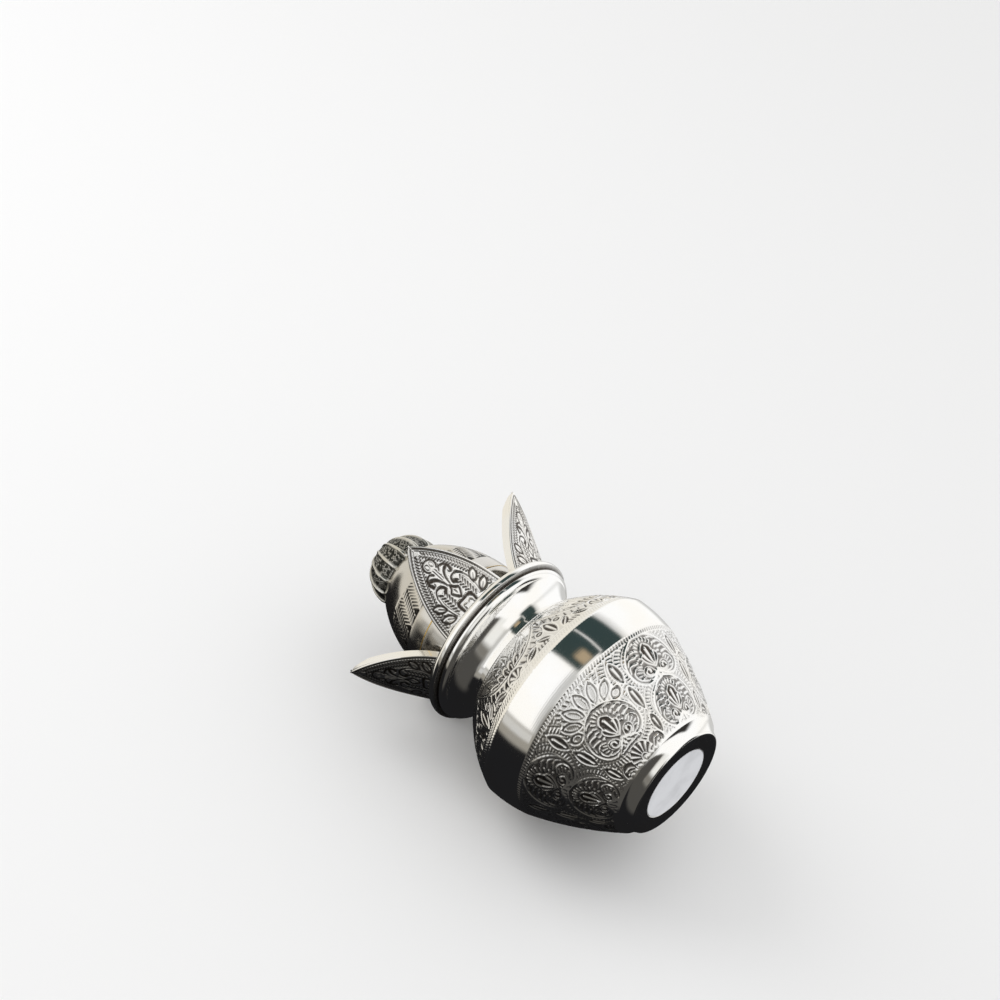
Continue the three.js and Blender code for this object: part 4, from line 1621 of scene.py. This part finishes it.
@dataclass
class Tuft:
    """The fluted cap: narrow bright ribs between wide stippled grooves."""

    centre: Point
    ribs: int = 14
    foot_radius: float = 17.5
    swell: float = 0.6
    foot: float = 163.8
    shoulder: float = 167.0
    rise: float = 17.0
    boss_radius: float = 2.4
    boss_rise: float = 0.9
    plug: Point = (13.0, 3.5)
    groove: float = 1.15
    pit: float = 0.3
    pit_row: float = 0.8
    pit_column: float = 1.1
    rib_start: float = 0.66
    rib_rise: float = 0.24
    columns: int = 560
    rows: int = 78
    # Painted shade: the tuft's bright silver colour is made darker than the pot's to stand for the shade that
    # the coconut lies in.
    silver: SilverFinish = field(default_factory=lambda: SilverFinish(
        "tuft silver with painted shade", bright=(0.66, 0.65, 0.61), sunk=(0.03, 0.03, 0.026), shine=0.18, dull=0.45))

    def make(self) -> bpy.types.Object:
        """Makes and dresses the tuft.

        Returns:
            The tuft.
        """
        side = np.array([(-0.9, 0.0), (-0.2, 0.35), (0.1, 0.9), (0.4, 1.8)]) + (self.foot_radius, self.foot)
        turn = np.linspace(0, 0.9 * math.pi / 2, self.rows)
        dome = np.stack([(self.foot_radius + self.swell) * np.cos(turn),
                         self.shoulder + self.rise * np.sin(turn)], 1)
        top = self.shoulder + self.rise
        cap = np.array([(self.boss_radius, top + 0.1), (self.boss_radius * 0.9, top + 0.5),
                        (self.boss_radius * 0.6, top + 0.8), (0, top + self.boss_rise)])
        out, deep = self.plug
        plug = np.array([(0, self.foot - deep), (out, self.foot - deep), (out, self.foot)])
        piece = lathe("coconut_tuft_fluted", np.vstack([plug, side, dome, cap]), self.columns)
        self.flute(piece, np.vstack([side[1:], dome]))
        close_up(piece, self.centre)
        dress(piece, self.silver.make())
        return piece

    def flute(self, piece: bpy.types.Object, line: np.ndarray) -> None:
        """Sinks the grooves between the ribs and pricks them.

        Args:
            piece: the spun tuft, its axis on the Z axis.
            line: the fluted stretch of its profile.
        """
        radius, azimuth, height = round_points(piece)
        index, on = nearest(line, radius, height)
        way = climb(line)[index]
        share = np.abs((azimuth * self.ribs / (2 * math.pi)) % 1 - 0.5) * 2
        rise = np.clip((share - self.rib_start) / self.rib_rise, 0, 1)
        floor = 1 - rise**2 * (3 - 2 * rise)
        fade = on * np.clip(radius / 9.0, 0, 1) * np.clip(way / 1.2, 0.3, 1)
        row = np.floor(way / self.pit_row)
        cell = azimuth * line[index, 0] / self.pit_column + 0.5 * row
        chance = np.abs(np.sin(np.floor(cell) * 12.9898 + row * 78.233) * 437.585) % 1
        pits = np.sin(math.pi * (cell % 1)) * np.sin(math.pi * (way / self.pit_row - row)) * (chance > 0.5)
        radius = np.maximum(radius - (self.groove - self.pit * pits) * floor * fade, 0)
        tone = floor * on * (1 - 0.75 * pits)
        set_round(piece, radius, azimuth, height, tone)


# ---------------------------------------------------------------- studio


class Shade(Enum):
    """Named levels of the studio's surroundings."""

    WINDOW = (1.03, 1.03, 1.03)
    CREAM = (0.86, 0.83, 0.76)
    PALE = (0.60, 0.60, 0.59)
    GREY = (0.20, 0.19, 0.17)
    DIM = (0.07, 0.067, 0.062)
    TEAL = (0.035, 0.055, 0.055)
    BLACK = (0.012, 0.012, 0.013)
    WARM = (0.42, 0.33, 0.22)


@dataclass(frozen=True)
class Card:
    """A soft-edged window or dark card, by azimuth and elevation in degrees round the object."""

    azimuth: tuple[float, float]
    elevation: tuple[float, float]
    shade: Shade
    soft: float = 3.0
    strength: float = 1.0


@dataclass
class Studio:
    """Camera, pale floor, and soft surroundings with dark cards that give the metal its contrast."""

    focal_px: float = 2148.4
    image_px: float = 1000.0
    sensor: float = 36.0
    camera_out: float = 897.0
    camera_up: float = -297.0
    camera_degrees: tuple[float, float, float] = (129.541, 45.305, -159.988)
    under: float = 0.2
    lying_degrees: float = 126.0
    lying_tilt: float = -3.5
    belly: Point = BELLY
    floor_size: float = 12.0
    floor_level: float = 0.9
    lamp_way: tuple[float, float, float] = (105.0, 0.75, 0.66)
    lamp_distance: float = 1.4
    lamp_size: float = 0.9
    lamp_watts: float = 4.8
    diffuse_level: float = 0.86
    backdrop_level: float = 0.8
    wrap: float = 40.0
    ceiling: Point = (30.0, 42.0)
    cards: tuple[Card, ...] = (
        Card((262, 385), (-75, 38), Shade.BLACK, 6),
        Card((262, 343), (30, 66), Shade.BLACK, 6),
        Card((306, 358), (58, 84), Shade.BLACK, 6),
        Card((250, 300), (-32, -5), Shade.BLACK, 5),
        Card((-20, 50), (-80, -9), Shade.DIM, 8),
        Card((44, 122), (-80, -9), Shade.GREY, 8),
        Card((66, 124), (-47, -10), Shade.PALE, 8, 1.45),
        Card((-10, 14), (-9, 34), Shade.BLACK, 4),
        Card((14, 34), (-9, 33), Shade.GREY, 3, 1.6),
        Card((24, 33), (-4, 30), Shade.PALE, 2),
        Card((36, 106), (0, 40), Shade.WINDOW, 2),
        Card((-20, 114), (-88, -50), Shade.DIM, 5),
        Card((117, 256), (-78, -10), Shade.WINDOW, 4),
        Card((104, 134), (-28, -7), Shade.WINDOW, 4),
        Card((107, 162), (-4, 33), Shade.TEAL, 3),
        Card((136, 163), (-13, 5), Shade.TEAL, 4),
        Card((136, 138.4), (-5, 27), Shade.PALE, 0.8),
        Card((115, 127), (-3, 8), Shade.WARM, 3),
        Card((168, 236), (-8, 40), Shade.WINDOW, 7),
        Card((182, 300), (-88, -38), Shade.DIM, 5, 0.45),
    )

    def build(self) -> None:
        """Makes the camera, the surroundings, the lamp and the two floors."""
        scene = bpy.context.scene
        scene.view_settings.view_transform = "Standard"
        camera = bpy.data.objects.new("camera", bpy.data.cameras.new("camera"))
        scene.collection.objects.link(camera)
        camera.data.sensor_width = self.sensor
        camera.data.lens = self.focal_px * self.sensor / self.image_px
        camera.data.clip_start, camera.data.clip_end = 0.01, 50
        front = math.radians(FRONT_DEG)
        place = Vector((math.cos(front) * self.camera_out, math.sin(front) * self.camera_out, self.camera_up))
        turned = Euler([math.radians(degrees) for degrees in self.camera_degrees])
        camera.matrix_world = Matrix.Translation(place * MM) @ turned.to_matrix().to_4x4()
        scene.camera = camera
        self.surround(scene)
        self.lamp()
        lying, tilt = math.radians(self.lying_degrees), math.radians(self.lying_tilt)
        normal = Vector((math.cos(lying) * math.cos(tilt), math.sin(lying) * math.cos(tilt), math.sin(tilt)))
        self.floor("floor_standing", Vector((0, 0, -self.under * MM)), Vector((0, 0, 1)))
        out, up = self.belly
        touch = Vector((-out * math.cos(lying), -out * math.sin(lying), up)) * MM
        self.floor("floor_lying", touch, normal)

    def surround(self, scene: bpy.types.Scene) -> None:
        """The world: plain pale to the camera, windows and dark cards to the metal.

        Args:
            scene: the scene that it surrounds.
        """
        world = bpy.data.worlds.new("studio")
        scene.world = world
        world.use_nodes = True
        book = NodeBook(world.node_tree)
        way = book.add("ShaderNodeSeparateXYZ", Vector=book.add("ShaderNodeTexCoord").outputs["Generated"])
        x, y, z = (book.value(way.outputs[k]) for k in range(3))
        degree = 180 / math.pi
        azimuth = book.maths("ARCTAN2", y, x) * degree
        azimuth = book.maths("FLOORED_MODULO", azimuth + self.wrap, 360.0) - self.wrap
        elevation = book.maths("ARCSINE", z) * degree
        colour = book.mix(book.step(elevation, *self.ceiling), Shade.PALE.value, Shade.CREAM.value)
        for card in self.cards:
            inside = elevation.within(*card.elevation, card.soft)
            low, high = card.azimuth
            across = azimuth.within(low, high, card.soft)
            if low < card.soft - self.wrap or high > 360 - self.wrap - card.soft:
                for turn in (-360, 360):
                    again = azimuth.within(low + turn, high + turn, card.soft)
                    across = book.maths("MAXIMUM", across, again)
            shade = tuple(c * card.strength for c in card.shade.value)
            colour = book.mix(inside * across, colour, shade)
        path = book.add("ShaderNodeLightPath")
        soft = book.mix(book.value(path.outputs["Is Diffuse Ray"]), colour, (self.diffuse_level,) * 3)
        seen = book.mix(book.value(path.outputs["Is Camera Ray"]), soft, (self.backdrop_level,) * 3)
        book.add("ShaderNodeOutputWorld", Surface=book.add("ShaderNodeBackground", Color=seen, Strength=1.0))

    def lamp(self) -> None:
        """One large soft lamp for the shadow and the paper."""
        data = bpy.data.lights.new("key", "AREA")
        data.shape, data.size, data.energy = "DISK", self.lamp_size, self.lamp_watts
        key = bpy.data.objects.new("key", data)
        bpy.context.scene.collection.objects.link(key)
        degrees, out, up = self.lamp_way
        turn = math.radians(degrees)
        away = Vector((math.cos(turn) * out, math.sin(turn) * out, up)).normalized()
        key.location = away * self.lamp_distance + Vector((0, 0, 0.08))
        key.rotation_mode = "QUATERNION"
        key.rotation_quaternion = away.to_track_quat("Z", "Y")
        key.visible_glossy = False

    def floor(self, name: str, point: Vector, normal: Vector) -> None:
        """A pale floor that is seen from its upper side only.

        Args:
            name: its name.
            point: a point on it.
            normal: the way that it faces.
        """
        deselect()
        bpy.ops.mesh.primitive_plane_add(size=self.floor_size)
        piece = bpy.context.active_object
        piece.name = name
        piece.data.transform(Matrix.Translation(point) @ normal.to_track_quat("Z", "Y").to_matrix().to_4x4())
        material, book, place = begin(name)
        grain = book.noise(place, 400.0, 3.0)
        bump = book.add("ShaderNodeBump", Strength=0.05, Distance=0.0003, Height=grain)
        paint = book.add("ShaderNodeBsdfPrincipled", Base_Color=(self.floor_level,) * 3, Roughness=0.8,
                         Normal=bump)
        clear = book.add("ShaderNodeBsdfTransparent")
        back = book.add("ShaderNodeNewGeometry").outputs["Backfacing"]
        either = book.add("ShaderNodeMixShader", i0=back, i1=paint, i2=clear)
        book.add("ShaderNodeOutputMaterial", Surface=either)
        dress(piece, material)
        piece.visible_glossy = piece.visible_diffuse = piece.visible_shadow = False
        piece.select_set(False)


def main() -> None:
    """Builds the studio and the three bodies."""
    logging.basicConfig(level=logging.INFO, format="%(name)s %(message)s")
    Studio().build()
    Pot().build()
    Crown().build()
    Coconut().build()


if __name__ == "__main__":
    main()
